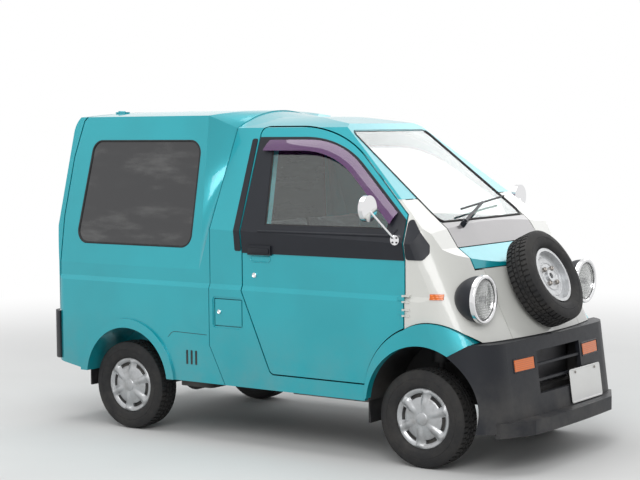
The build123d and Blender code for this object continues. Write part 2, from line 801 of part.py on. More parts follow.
# Cab shell: roof, pillars, sills and rear posts
lid_recess = across(
    side_face(
        (
            (LID_X[0] - LID_BORDER, LID_Z[0] - LID_BORDER),
            (LID_X[1] + LID_BORDER, LID_Z[0] - LID_BORDER),
            (LID_X[1] + LID_BORDER, LID_Z[1] + LID_BORDER),
            (LID_X[0] - LID_BORDER, LID_Z[1] + LID_BORDER),
        ),
        LID_R,
    ),
    -FAR,
    -BODY_Y + LID_IN,
)
lid_pocket = block(
    (LID_X[0] - MOVE_GAP, -BODY_Y, LID_Z[0] - MOVE_GAP),
    (LID_X[1] + 2 * MOVE_GAP, -BODY_Y + LID_POCKET, LID_Z[1] + MOVE_GAP),
)
lid_axis = (LID_X[1] + LID_PIN_R, -BODY_Y + LID_IN + LID_T / 2)
lid_pin = rod((*lid_axis, LID_Z[0] - 2 * MOVE_GAP), (*lid_axis, LID_Z[1] + 2 * MOVE_GAP), LID_PIN_R)
shell_cuts = [
    cab_inner,
    door_cut,
    mirrored(door_cut),
    screen_cut,
    nose_region,
    flare_rear_gap,
    mirrored(flare_rear_gap),
    knee_cut,
    lid_recess,
    lid_pocket,
]
cab_shell = panel(cab_outer, shell_cuts, joined=[lid_pin])
finish(cab_shell, "cab_shell")

# White nose panels: one centre piece and two sides
nose_block = block((0, -FAR, BUMPER_TOP_Z + PANEL_GAP), (2 * FAR, FAR, PILLAR_END_Z - PANEL_GAP))
nose_solid = panel(cab_outer, regions=[nose_block, nose_region])
nose_side_outline = (
    (-NOSE_SEAM_Y - PANEL_GAP, 0),
    (-NOSE_SEAM_Y - PANEL_GAP, STRIP_Z - 2 * PANEL_GAP),
    (-COWL_Y - 2 * PANEL_GAP, STRIP_Z - 2 * PANEL_GAP),
    (-COWL_Y - 2 * PANEL_GAP, SCREEN_Z),
    (-PILLAR_END_Y, PILLAR_END_Z),
    (-FAR, PILLAR_END_Z),
    (-FAR, 0),
)
nose_side = panel(
    nose_solid, [cab_inner, flare_top_gap, flare_rear_gap], [along(nose_side_outline, 0, 2 * FAR)]
)
nose_centre = panel(
    nose_solid, [cab_inner], [block((0, -NOSE_SEAM_Y, 0), (3 * FAR, NOSE_SEAM_Y, STRIP_Z - PANEL_GAP))]
)
nose_panels = panel(pair(nose_side), joined=[nose_centre])
finish(nose_panels, "nose_panels")
cowl_strip = panel(
    nose_solid, [cab_inner], [block((0, -COWL_Y, STRIP_Z), (3 * FAR, COWL_Y, COWL_Z - PANEL_GAP))]
)
finish(cowl_strip, "cowl_strip")
cowl_panel = panel(
    nose_solid, [cab_inner], [block((0, -COWL_Y, COWL_Z), (3 * FAR, COWL_Y, SCREEN_Z - PANEL_GAP))]
)
finish(cowl_panel, "cowl_panel")
windscreen = panel(cab_glass_outer, [cab_glass_inner], [screen_outline(FIT)])
finish(windscreen, "windscreen")

# Teal flares over the front wheels
flare_region = panel(
    flare_rear_disc, [block((DOOR_FRONT_X, -FAR, 0), (3 * FAR, 0, 3 * FAR))], joined=[]
)
flare_front = panel(flare_top_disc, regions=[block((DOOR_FRONT_X - FIT, -FAR, 0), (3 * FAR, 0, 3 * FAR))])
flare_region = panel(flare_region, joined=[flare_front])
flare_low = across(
    side_face(
        [
            (x, z + PANEL_GAP)
            for x, z in (ARCH_POINT, NOSE_POINT, (2 * FAR, NOSE_POINT[1]), (2 * FAR, 0), (ARCH_POINT[0], 0))
        ]
    ),
    -FAR,
    FAR,
)
flare = panel(
    cab_flare_outer,
    [cab_inner, front_arch_cut, flare_low],
    [flare_region, block((0, -FAR, SILL_Z), (3 * FAR, -WELL_Y, 3 * FAR))],
)
finish(pair(flare), "front_flares")

# Right door: outer skin over its full outline, inner body set back from the edges
door_skin = panel(cab_outer, [cab_skin_inner, window_cut], [door_full, door_side_region])
door_body = panel(cab_skin_inner, [cab_door_inner, window_cut], [door_inset, door_side_region])
door_hinge = []
hinge_eyes = []
for z in HINGE_Z:
    eye = rod(
        (DOOR_AXIS_X, -DOOR_AXIS_Y, z - HINGE_H / 2), (DOOR_AXIS_X, -DOOR_AXIS_Y, z + HINGE_H / 2), HINGE_R
    )
    leaf = block(
        (DOOR_FRONT_X - HINGE_LEAF, -BODY_Y - TRIM_OUT, z - HINGE_H / 2),
        (DOOR_AXIS_X, -UPPER_Y + DOOR_SKIN / 2, z + HINGE_H / 2),
    )
    bore = rod((DOOR_AXIS_X, -DOOR_AXIS_Y, z - HINGE_H), (DOOR_AXIS_X, -DOOR_AXIS_Y, z + HINGE_H), HINGE_PIN_R + FIT)
    door_hinge.append(panel(panel(eye, joined=[leaf]), [bore]))
    pin = rod((DOOR_AXIS_X, -DOOR_AXIS_Y, z - HINGE_H), (DOOR_AXIS_X, -DOOR_AXIS_Y, z + HINGE_H), HINGE_PIN_R)
    ends = []
    for low, high in ((z - HINGE_H, z - HINGE_H / 2 - FIT), (z + HINGE_H / 2 + FIT, z + HINGE_H)):
        ends.append(rod((DOOR_AXIS_X, -DOOR_AXIS_Y, low), (DOOR_AXIS_X, -DOOR_AXIS_Y, high), HINGE_R))
        ends.append(block((DOOR_AXIS_X, -BODY_Y - TRIM_OUT, low), (DOOR_AXIS_X + HINGE_LEAF, -UPPER_Y, high)))
    hinge_eyes.append(panel(panel(pin, joined=ends), [cab_outer]))
ring_space = [
    rod((DOOR_AXIS_X, -DOOR_AXIS_Y, z - HINGE_H - FIT), (DOOR_AXIS_X, -DOOR_AXIS_Y, z + HINGE_H + FIT), HINGE_R + TRIM_OUT / 2)
    for z in HINGE_Z
]
door_right = panel(panel(door_skin, joined=[door_body]), ring_space)
door_right = panel(door_right, joined=door_hinge)
finish(door_right, "door_right")
finish(mirrored(door_right), "door_left")

# Black window surround with the door handle
trim_points = (
    (CAB_REAR_X, BELT_Z),
    (FAR, BELT_Z),
    TRIM_TOP[0],
    TRIM_TOP[1],
    (CAB_REAR_X, TRIM_TOP[1][1]),
)
with BuildSketch(Plane.XZ) as trim_face:
    with BuildLine():
        Polyline(*trim_points, close=True)
    make_face()
    fillet(trim_face.vertices().filter_by(lambda v: abs(v.X - TRIM_TOP[1][0]) < 1), TRIM_R)
    add(door_outline(-FIT), mode=Mode.INTERSECT)
trim_region = across(trim_face.sketch, -FAR, -DOOR_INSIDE[-1][0])
handle = block(
    (HANDLE_X[0], -UPPER_Y - HANDLE_OUT, HANDLE_Z[0]), (HANDLE_X[1], -UPPER_Y + DOOR_SKIN, HANDLE_Z[1])
)
door_trim = panel(
    cab_trim_outer, [cab_outer, window_cut], [trim_region], joined=[panel(handle, [cab_outer])]
)
finish(door_trim, "door_trim_right")
finish(mirrored(door_trim), "door_trim_left")
door_glass = panel(cab_glass_outer, [cab_glass_inner], [window_glass, door_side_region])
finish(door_glass, "door_glass_right")
finish(mirrored(door_glass), "door_glass_left")

# Mirrors on their arms
mirror_head = rod(
    (MIRROR_HEAD[0], -MIRROR_HEAD[1], MIRROR_HEAD[2]),
    (MIRROR_HEAD[0] + MIRROR_T, -MIRROR_HEAD[1], MIRROR_HEAD[2]),
    MIRROR_R,
)
mirror_base = rod(
    (MIRROR_BASE[0], -MIRROR_BASE_Y, MIRROR_BASE[2]),
    (MIRROR_BASE[0], -MIRROR_BASE[1] + MIRROR_BASE_R, MIRROR_BASE[2]),
    MIRROR_BASE_R,
)
mirror_arm = rod(
    (MIRROR_BASE[0], -MIRROR_BASE_Y + DOOR_SKIN, MIRROR_BASE[2]),
    (MIRROR_HEAD[0] + MIRROR_T / 2, -MIRROR_HEAD[1], MIRROR_HEAD[2]),
    MIRROR_ARM_R,
)
mirror_right = panel(
    panel(mirror_base, [cab_trim_outer]), joined=[mirror_arm, mirror_head]
)
finish(mirror_right, "mirror_right")
finish(mirrored(mirror_right), "mirror_left")

# Black triangles ahead of the doors, strips behind them, and the fixed halves of the hinges
triangle_region = across(side_face(TRIANGLE, LID_R), -FAR, 0)
strip_region = across(side_face(STRIP, STRIP_R), -FAR, 0)
triangle = panel(cab_trim_outer, [cab_outer], [triangle_region, nose_region])
strip = panel(cab_trim_outer, [cab_outer, door_cut], [strip_region])
pillar_trim = panel(triangle, joined=[strip, *hinge_eyes])
finish(pair(pillar_trim), "pillar_trim")

# Fuel lid on the right side
lid = block((LID_X[0], -BODY_Y + LID_IN, LID_Z[0]), (LID_X[1], -BODY_Y + LID_IN + LID_T, LID_Z[1]))
lid_bore = rod((*lid_axis, LID_Z[0] - SEAM), (*lid_axis, LID_Z[1] + SEAM), LID_PIN_R + FIT)
lid_barrel = rod((*lid_axis, LID_Z[0]), (*lid_axis, LID_Z[1]), LID_BARREL_R)
fuel_lid = panel(panel(lid, joined=[lid_barrel]), [lid_bore])
finish(fuel_lid, "fuel_lid")

# Cargo box: walls, roof with its fairing, floor on two beams, partition, arch lips and liners
rear_arch_cut = disc_y(REAR_ARCH, REAR_ARCH_R, -FAR, -REAR_WELL_Y)
window_region = panel(across(side_face(BOX_WINDOW, BOX_WINDOW_R), -FAR, -WELL_Y))
box_window_glass = across(side_face(BOX_WINDOW, BOX_WINDOW_R), -FAR, -WELL_Y)
gate_cut = across(gate_outline(-SEAM), -FAR, FAR)
box_walls = panel(
    box_outer,
    [box_inner, rear_arch_cut, mirrored(rear_arch_cut), window_region, mirrored(window_region), gate_cut],
)
knee_side = (
    (CAB_REAR_X - KNEE_OVERLAP, SILL_Z),
    (SEAM_FOOT_X, SILL_Z),
    (CAB_REAR_X, SEAM_KNEE_Z),
    (CAB_REAR_X - KNEE_OVERLAP, SEAM_KNEE_Z),
)
knee_panel = across(side_face(knee_side), -BODY_Y, -BODY_Y + BOX_WALL)
fairing_run = (FAIRING_X - CAB_REAR_X) / (CAB_LOFT_X - CAB_REAR_X)
fairing_ends = []
for x, run, crown_z in ((CAB_REAR_X - BOX_WALL, 0, BOX_CROWN_Z), (FAIRING_X, fairing_run, CAB_ROOF_Z - FAIRING_DIP)):
    shoulder = (UPPER_Y, REAR_SHOULDER_Z + run * (NOSE_SHOULDER_Z - REAR_SHOULDER_Z))
    eave = (REAR_EAVE_Y + run * (NOSE_EAVE_Y - REAR_EAVE_Y), EAVE_Z)
    fairing_ends.append(body_section(x, shoulder, eave, crown_z, (SHOULDER_R, EAVE_R), FAIRING_IN))
with BuildPart() as fairing_solid:
    loft(fairing_ends, ruled=True)
fairing = panel(fairing_solid.part, [cab_outer, box_inner], [block((-FAR, -FAR, EAVE_Z), (FAR, FAR, 2 * FAR))])
box_floor = panel(
    block(
        (BOX_REAR_X + GATE_T + SEAM, -FAR, BOX_FLOOR_Z),
        (CAB_REAR_X - PANEL_GAP, FAR, BOX_FLOOR_Z + BOX_FLOOR_T),
    ),
    regions=[box_form(BOX_WALL - FIT)],
)
partition = panel(
    block(
        (BOX_SHOULDER_X, -FAR, BOX_FLOOR_Z), (BOX_SHOULDER_X + PARTITION_T, FAR, PARTITION_Z)
    ),
    regions=[box_form(BOX_WALL - FIT)],
)
beams = [
    block((x - BEAM_W / 2, -BODY_Y + BOX_WALL, REAR_RAIL_Z + RAIL_H), (x + BEAM_W / 2, BODY_Y - BOX_WALL, BOX_FLOOR_Z))
    for x in BEAM_X
]
arch_lip = panel(
    disc_y(REAR_ARCH, REAR_ARCH_R + ARCH_LIP, -BODY_Y - LIP_OUT, -BODY_Y + LIP_OUT, REAR_ARCH_R),
    regions=[block((-2 * FAR, -FAR, SILL_Z), (0, 0, FAR))],
)
rear_liner = panel(
    disc_y(REAR_ARCH, REAR_ARCH_R + WELL_T, -BODY_Y + LIP_OUT, -REAR_WELL_Y, REAR_ARCH_R),
    regions=[block((-2 * FAR, -FAR, SILL_Z), (0, 0, FAR))],
)
rear_well_wall = panel(
    disc_y(REAR_ARCH, REAR_ARCH_R + WELL_T, -REAR_WELL_Y, -REAR_WELL_Y + WELL_T),
    regions=[block((-2 * FAR, -FAR, REAR_RAIL_Z + RAIL_H), (0, 0, FAR))],
)
roof_hinge = [disc_y(GATE_AXIS, GATE_PIN_R, -GATE_HINGE_Y - GATE_HINGE_W, -GATE_HINGE_Y + GATE_HINGE_W)]
for low, high in ((-GATE_HINGE_W, -GATE_HINGE_W / 2 - FIT), (GATE_HINGE_W / 2 + FIT, GATE_HINGE_W)):
    roof_hinge.append(disc_y(GATE_AXIS, GATE_HINGE_R, low - GATE_HINGE_Y, high - GATE_HINGE_Y))
    roof_hinge.append(
        block(
            (GATE_AXIS[0], low - GATE_HINGE_Y, GATE_AXIS[1] - GATE_HINGE_R - GATE_SKIN),
            (GATE_AXIS[0] + GATE_LEAF, high - GATE_HINGE_Y, GATE_AXIS[1]),
        )
    )
roof_hinge = panel(roof_hinge[0], joined=roof_hinge[1:])
side_pieces = panel(arch_lip, joined=[rear_liner, rear_well_wall, knee_panel, roof_hinge])
cargo_box = panel(box_walls, joined=[fairing, box_floor, partition, *beams, side_pieces, mirrored(side_pieces)])
finish(cargo_box, "cargo_box")
box_glass = panel(
    box_glass_outer,
    [box_glass_inner],
    [across(side_face([*BOX_WINDOW], BOX_WINDOW_R), -FAR, -WELL_Y)],
)
finish(pair(box_glass), "box_glass")

# Tailgate
gate_full = across(gate_outline(0), -FAR, FAR)
gate_inset = across(gate_outline(GATE_FLANGE), -FAR, FAR)
gate_window = along(GATE_WINDOW, -2 * FAR, BOX_REAR_X + FAR / 4, GATE_WINDOW_R)
gate_skin = panel(box_outer, [box_skin_inner, gate_window], [gate_full])
gate_body = panel(box_skin_inner, [box_gate_inner, gate_window], [gate_inset])
gate_leaf = block(
    (GATE_AXIS[0] - GATE_LEAF, -GATE_HINGE_Y - GATE_HINGE_W / 2, GATE_AXIS[1] - GATE_SKIN),
    (GATE_AXIS[0], -GATE_HINGE_Y + GATE_HINGE_W / 2, GATE_AXIS[1]),
)
gate_swing = disc_y(GATE_AXIS, GATE_PIN_R + FIT, -GATE_HINGE_Y - GATE_HINGE_W, -GATE_HINGE_Y + GATE_HINGE_W)
gate_eye = disc_y(GATE_AXIS, GATE_HINGE_R, -GATE_HINGE_Y - GATE_HINGE_W / 2, -GATE_HINGE_Y + GATE_HINGE_W / 2)
gate_eye = panel(
    panel(gate_eye, joined=[panel(gate_leaf, [box_skin_inner])]),
    [gate_swing, block((GATE_AXIS[0] - GATE_HINGE_R, -FAR, 0), (0, FAR, GATE_AXIS[1] - GATE_HINGE_R))],
)
gate_notch = block(
    (GATE_AXIS[0] - GATE_HINGE_R - SEAM, -GATE_HINGE_Y - GATE_HINGE_W - SEAM, GATE_AXIS[1] - GATE_LEAF),
    (GATE_AXIS[0] + GATE_LEAF, -GATE_HINGE_Y + GATE_HINGE_W + SEAM, 2 * FAR),
)
tailgate = panel(panel(gate_skin, joined=[gate_body]), [gate_notch, mirrored(gate_notch)])
tailgate = panel(tailgate, joined=[gate_eye, mirrored(gate_eye)])
finish(tailgate, "tailgate")
gate_glass = panel(
    box_glass_outer,
    [box_glass_inner],
    [gate_window],
)
finish(gate_glass, "tailgate_glass")


# Front bumper with lip, shelf, grille bars and a towing eye
bumper_band = panel(bumper_outer, [bumper_inner, bumper_top_cut])
lip_side = (LIP_CORNER[0] - BUMPER_WALL, LIP_CORNER[1])
with BuildPart() as lip:
    with BuildSketch(Plane.XY.offset(LIP_Z)):
        with BuildLine():
            ThreePointArc((LIP_X - BUMPER_CROWN, -LIP_FRONT_Y), (LIP_X, 0), (LIP_X - BUMPER_CROWN, LIP_FRONT_Y))
            Polyline((LIP_X - BUMPER_CROWN, LIP_FRONT_Y), LIP_CORNER, lip_side)
            Line(lip_side, (lip_side[0], -lip_side[1]))
            Polyline((lip_side[0], -lip_side[1]), (LIP_CORNER[0], -LIP_CORNER[1]), (LIP_X - BUMPER_CROWN, -LIP_FRONT_Y))
        make_face()
    extrude(amount=LIP_TOP_Z - LIP_Z)
shelf = block((SHELF_X, -SHELF_Y, BUMPER_TOP_Z - BUMPER_WALL), (BUMPER_X - BUMPER_WALL, SHELF_Y, BUMPER_TOP_Z))
grille_hole = block((SHELF_X, -GRILLE_Y, GRILLE_Z[0]), (2 * FAR, GRILLE_Y, GRILLE_Z[1]))
bars = []
for z in GRILLE_BARS:
    bar_x = BUMPER_X - BUMPER_SLOPE * (z - BUMPER_Z) - BUMPER_WALL * 0.75
    bars.append(
        block(
            (bar_x - GRILLE_BAR / 2, -GRILLE_Y - SEAM, z - GRILLE_BAR / 2),
            (bar_x + GRILLE_BAR / 2, GRILLE_Y + SEAM, z + GRILLE_BAR / 2),
        )
    )
lip_cut = block((0, -LIP_INSIDE[1], 0), (LIP_INSIDE[0], LIP_INSIDE[1], LIP_TOP_Z + SEAM))
lamp_pockets = [
    block(
        (SHELF_X, sign * INDICATOR_Y - INDICATOR_W / 2, INDICATOR_Z - INDICATOR_H / 2),
        (2 * FAR, sign * INDICATOR_Y + INDICATOR_W / 2, INDICATOR_Z + INDICATOR_H / 2),
    )
    for sign in (1, -1)
]
pocket_cut = panel(bumper_lens_outer, [bumper_lens_inner], [panel(lamp_pockets[0], joined=[lamp_pockets[1]])])
front_bumper = panel(
    bumper_band,
    [mirrored(front_arch_cut), front_arch_cut, grille_hole, pocket_cut],
    joined=[panel(shelf, regions=[bumper_outer]), panel(lip.part, [bumper_inner, lip_cut]), *bars],
)
finish(front_bumper, "front_bumper")

# Orange lamps: front indicators and side markers
lens_blocks = [
    block(
        (SHELF_X, sign * INDICATOR_Y - INDICATOR_W / 2 + FIT, INDICATOR_Z - INDICATOR_H / 2 + FIT),
        (2 * FAR, sign * INDICATOR_Y + INDICATOR_W / 2 - FIT, INDICATOR_Z + INDICATOR_H / 2 - FIT),
    )
    for sign in (1, -1)
]
lens_inner = bumper_form(INDICATOR_IN - FIT)
indicator = panel(bumper_lens_outer, [lens_inner], [panel(lens_blocks[0], joined=[lens_blocks[1]])])
marker = panel(across(side_face(MARKER), -BODY_Y - SEAM, -LAMP_Y), [cab_outer], [cab_trim_outer])
finish(panel(pair(marker), joined=[indicator]), "indicators")

# Head lamps: pod, ring and lens on each side of the nose
with BuildPart() as pod_solid:
    with BuildSketch(Plane.XZ):
        with BuildLine():
            Polyline((0, POD_R), (0, 0), (-POD_L, 0))
            ThreePointArc((-POD_L, 0), (-POD_MID[0], POD_MID[1]), (0, POD_R))
        make_face()
    revolve(axis=Axis.X)
with BuildPart() as ring_solid:
    with BuildSketch(Plane.XZ) as ring_face:
        with Locations((RING_DEPTH / 2, (RING_R + RING_IN_R) / 2)):
            Rectangle(RING_DEPTH, RING_R - RING_IN_R)
        fillet(ring_face.vertices().filter_by(lambda v: v.X > RING_DEPTH / 2), (RING_R - RING_IN_R) / 3)
    revolve(axis=Axis.X)
with BuildPart() as lens_solid:
    with Locations((RING_DEPTH / 2 + LENS_BULGE - LENS_SPHERE_R, 0, 0)):
        Sphere(LENS_SPHERE_R)
    add(rod((0, 0, 0), (RING_DEPTH + LENS_BULGE, 0, 0), RING_IN_R - FIT), mode=Mode.INTERSECT)
lamp_place = Location((LAMP_X, -LAMP_Y, LAMP_Z))
pod = panel(pod_solid.part.moved(lamp_place), [cab_outer])
finish(pair(pod), "headlight_pods")
finish(pair(ring_solid.part.moved(lamp_place)), "headlight_rings")
finish(pair(lens_solid.part.moved(lamp_place)), "headlight_lenses")

# Spare wheel leaning back against the nose
spare_place = Location((SPARE_X, 0, SPARE_Z)) * Location((0, 0, 0), (0, -SPARE_TILT, 0)) * Location((0, 0, 0), (0, 0, 90))
finish(tyre(SPARE_W).moved(spare_place), "spare_tyre")
spare_wheel = rim(False)
finish(spare_wheel.moved(spare_place), "spare_rim")
with BuildPart() as carrier_solid:
    with BuildSketch(Plane.XZ.offset(-RIM_W)):
        Circle(CARRIER_R)
    extrude(amount=RIM_W + RIM_W / 4 - HUB_L / 2 - FIT)
carrier = panel(carrier_solid.part.moved(spare_place), [cab_outer])
finish(carrier, "spare_carrier")

# Rear bumper corners and lamps
with BuildPart() as tail_solid:
    with BuildSketch(Plane.XY.offset(TAIL_Z[0])) as tail_plan:
        with BuildLine():
            Polyline((0, TAIL_Y), (TAIL_X, TAIL_Y), (TAIL_X, -TAIL_Y), (0, -TAIL_Y), close=True)
        make_face()
        fillet(tail_plan.vertices().filter_by(lambda v: v.X < TAIL_X / 2), TAIL_R)
    extrude(amount=TAIL_Z[1] - TAIL_Z[0])
tail_lamp_boxes = [
    block(
        (2 * TAIL_X, sign * TAIL_LAMP_Y - TAIL_LAMP_W / 2, TAIL_LAMP_Z - TAIL_LAMP_H / 2),
        (TAIL_X + TAIL_LAMP_IN, sign * TAIL_LAMP_Y + TAIL_LAMP_W / 2, TAIL_LAMP_Z + TAIL_LAMP_H / 2),
    )
    for sign in (1, -1)
]
rear_bumper = panel(tail_solid.part, [box_outer, *tail_lamp_boxes], [block((2 * TAIL_X, -FAR, 0), (TAIL_SIDE_X, FAR, FAR))])
finish(rear_bumper, "rear_bumper")
rear_lamps = panel(
    tail_solid.part, regions=[panel(tail_lamp_boxes[0], joined=[tail_lamp_boxes[1]])]
)
finish(rear_lamps, "rear_lamps")

# Ladder frame
rail_side = (
    (RAIL_FRONT_X, FLOOR_Z),
    (KICK_X[0], FLOOR_Z),
    (KICK_X[1], REAR_RAIL_Z + RAIL_H),
    (RAIL_REAR_X, REAR_RAIL_Z + RAIL_H),
    (RAIL_REAR_X, REAR_RAIL_Z),
    (KICK_X[1], REAR_RAIL_Z),
    (KICK_X[0], FLOOR_Z - RAIL_H),
    (RAIL_FRONT_X, FLOOR_Z - RAIL_H),
)
rail = across(side_face(rail_side), -RAIL_Y - RAIL_W / 2, -RAIL_Y + RAIL_W / 2)
crosses = []
for x in CROSS_X:
    high = REAR_RAIL_Z + RAIL_H if x < KICK_X[0] else FLOOR_Z
    crosses.append(block((x - CROSS_W / 2, -RAIL_Y, high - RAIL_H), (x + CROSS_W / 2, RAIL_Y, high)))
hook = panel(
    rod((HOOK_X, HOOK_Y - HOOK_T / 2, HOOK_Z), (HOOK_X, HOOK_Y + HOOK_T / 2, HOOK_Z), HOOK_R),
    joined=[block((RAIL_FRONT_X - CROSS_W, HOOK_Y - HOOK_T / 2, HOOK_Z), (HOOK_X, HOOK_Y + HOOK_T / 2, FLOOR_Z - RAIL_H))],
)
hook = panel(hook, [rod((HOOK_X, HOOK_Y - HOOK_T, HOOK_Z), (HOOK_X, HOOK_Y + HOOK_T, HOOK_Z), HOOK_BORE_R)])
jack_pad = block(
    (JACK_X[0], -RAIL_Y - RAIL_W / 2, FLOOR_Z - RAIL_H - JACK_T), (JACK_X[1], -RAIL_Y + RAIL_W / 2, FLOOR_Z - RAIL_H)
)
finish(panel(pair(rail), joined=[*crosses, hook, jack_pad, mirrored(jack_pad)]), "chassis_frame")

# Cab floor: pan, seat box, toe board, door posts and wheel liners
front_liner = disc_y(FRONT_ARCH, FRONT_ARCH_R + WELL_T, -FAR, -WELL_Y, FRONT_ARCH_R)
front_well_wall = disc_y(FRONT_ARCH, FRONT_ARCH_R + WELL_T, -WELL_Y, -WELL_Y + WELL_T)
well_zone = block((0, -FAR, SILL_Z), (SHELF_X, 0, FAR))
low_cut = block((FRONT_ARCH[0], -FAR, 0), (3 * FAR, FAR, FLOOR_Z))
pan = block((CAB_REAR_X + CAB_WALL, -FAR, FLOOR_Z), (TOE_X + CAB_WALL, FAR, FLOOR_Z + FLOOR_T))
deck = panel(
    block((SEAT_BOX_X[0], -SEAT_BOX_Y, FLOOR_Z), (SEAT_BOX_X[1], SEAT_BOX_Y, SEAT_BOX_Z)),
    [
        block(
            (SEAT_BOX_X[0] + FLOOR_T, -SEAT_BOX_Y + FLOOR_T, 0),
            (SEAT_BOX_X[1] - FLOOR_T, SEAT_BOX_Y - FLOOR_T, SEAT_BOX_Z - FLOOR_T),
        )
    ],
)
pan_hole = block(
    (SEAT_BOX_X[0] + FLOOR_T, -RAIL_Y + RAIL_W / 2, 0), (SEAT_BOX_X[1] - FLOOR_T, RAIL_Y - RAIL_W / 2, SEAT_BOX_Z - FLOOR_T)
)
toe = block((TOE_X, -FAR, FLOOR_Z), (TOE_X + FLOOR_T, FAR, TOE_Z))
post = block((TOE_X - SEAM, -FAR, FLOOR_Z), (TOE_X + CAB_WALL, -DOOR_INSIDE[0][0], TOE_Z))
wells = panel(front_liner, joined=[front_well_wall])
wells = panel(wells, regions=[well_zone])
rib = block((TOE_X, -RIB_Y - RIB_T, BUMPER_TOP_Z), (2 * FAR, -RIB_Y, SCREEN_Z))
floor_plates = panel(
    panel(pan, joined=[deck, toe, post, mirrored(post), rib, mirrored(rib)]),
    [pan_hole, front_arch_cut, mirrored(front_arch_cut)],
)
cab_floor = panel(panel(floor_plates, joined=[wells, mirrored(wells)]), [low_cut], [cab_fit])
finish(cab_floor, "cab_floor")

# Masses and pipes under the floor
engine = panel(block(*ENGINE), joined=[block(*GEARBOX)])
finish(engine, "engine")
finish(block(*RADIATOR), "radiator")
finish(block(*TANK, TANK_R), "fuel_tank")
exhaust = panel(
    rod((GEARBOX[0][0] + PIPE_Y, PIPE_Y, PIPE_Z), (MUFFLER_X[0], PIPE_Y, PIPE_Z), PIPE_R),
    joined=[
        rod((MUFFLER_X[0], PIPE_Y, PIPE_Z), (MUFFLER_X[1], PIPE_Y, PIPE_Z), MUFFLER_R),
        rod((MUFFLER_X[0], PIPE_Y, PIPE_Z), (PIPE_END_X, PIPE_Y, PIPE_Z), PIPE_R),
    ],
)
finish(exhaust, "exhaust")

# Rear axle on leaf springs
axle = rod((REAR_AXLE_X, -HALF_TRACK + DRUM_W, TYRE_R), (REAR_AXLE_X, HALF_TRACK - DRUM_W, TYRE_R), AXLE_R)
spindle = rod((REAR_AXLE_X, -HALF_TRACK - RIM_W / 4 - HUB_L / 2, TYRE_R), (REAR_AXLE_X, -HALF_TRACK + DRUM_W, TYRE_R), SPINDLE_R)
drum = rod((REAR_AXLE_X, -HALF_TRACK + DRUM_W, TYRE_R), (REAR_AXLE_X, -HALF_TRACK, TYRE_R), DRUM_R)
diff = rod((REAR_AXLE_X, -DIFF_W / 2, TYRE_R), (REAR_AXLE_X, DIFF_W / 2, TYRE_R), DIFF_R)
leaf_low = TYRE_R + AXLE_R
with BuildPart() as leaf_solid:
    with BuildSketch(Plane.XZ.offset(RAIL_Y - LEAF_W / 2)):
        with BuildLine():
            ends_z = REAR_RAIL_Z - LEAF_T
            front_end = (REAR_AXLE_X + LEAF_REACH, ends_z)
            rear_end = (REAR_AXLE_X - LEAF_REACH, ends_z)
            ThreePointArc(rear_end, (REAR_AXLE_X, leaf_low - FIT * LEAF_T), front_end)
            Line(front_end, (front_end[0], REAR_RAIL_Z + LEAF_T))
            ThreePointArc(
                (front_end[0], REAR_RAIL_Z + LEAF_T), (REAR_AXLE_X, leaf_low + LEAF_T), (rear_end[0], REAR_RAIL_Z + LEAF_T)
            )
            Line((rear_end[0], REAR_RAIL_Z + LEAF_T), rear_end)
        make_face()
    extrude(amount=LEAF_W)
leaf_spring = panel(leaf_solid.part, [across(side_face(rail_side), -FAR, FAR)])
rear_side = panel(drum, joined=[spindle, leaf_spring])
finish(panel(axle, joined=[diff, rear_side, mirrored(rear_side)]), "rear_axle")

# Front springs and arms, and the steering knuckles they carry
eye_zs = (TYRE_R - KINGPIN_REACH + EYE_H / 2, TYRE_R + KINGPIN_REACH - EYE_H / 2)
eyes = []
for z in eye_zs:
    eye_bottom = (FRONT_AXLE_X, -KINGPIN_Y, z - EYE_H / 2)
    eye_top = (FRONT_AXLE_X, -KINGPIN_Y, z + EYE_H / 2)
    arm_in = RAIL_Y - RAIL_W / 2 if z < TYRE_R else STRUT_Y
    arm = block((FRONT_AXLE_X - EYE_R, -KINGPIN_Y, z - EYE_H / 2), (FRONT_AXLE_X + EYE_R, -arm_in, z + EYE_H / 2))
    bore = rod(eye_bottom, eye_top, KINGPIN_R + FIT)
    eyes.append(panel(panel(rod(eye_bottom, eye_top, EYE_R), joined=[arm]), [bore]))
strut = rod(
    (FRONT_AXLE_X, -STRUT_Y, eye_zs[1] - EYE_H / 2), (FRONT_AXLE_X, -STRUT_Y, FRONT_ARCH[1] + FRONT_ARCH_R), STRUT_R
)
strut = panel(strut, [disc_y(FRONT_ARCH, FRONT_ARCH_R + FAR, -FAR, 0, FRONT_ARCH_R)])
coil = rod((FRONT_AXLE_X, -STRUT_Y, COIL_Z), (FRONT_AXLE_X, -STRUT_Y, FRONT_ARCH[1] + FRONT_ARCH_R - 2 * SEAM), COIL_R)
hanger = block(
    (FRONT_AXLE_X - EYE_R, -RAIL_Y - RAIL_W / 2, eye_zs[0] - EYE_H / 2), (FRONT_AXLE_X + EYE_R, -RAIL_Y + RAIL_W / 2, FLOOR_Z - RAIL_H)
)
front_side = panel(eyes[0], joined=[hanger, eyes[1], strut, coil])
finish(pair(front_side), "front_suspension")
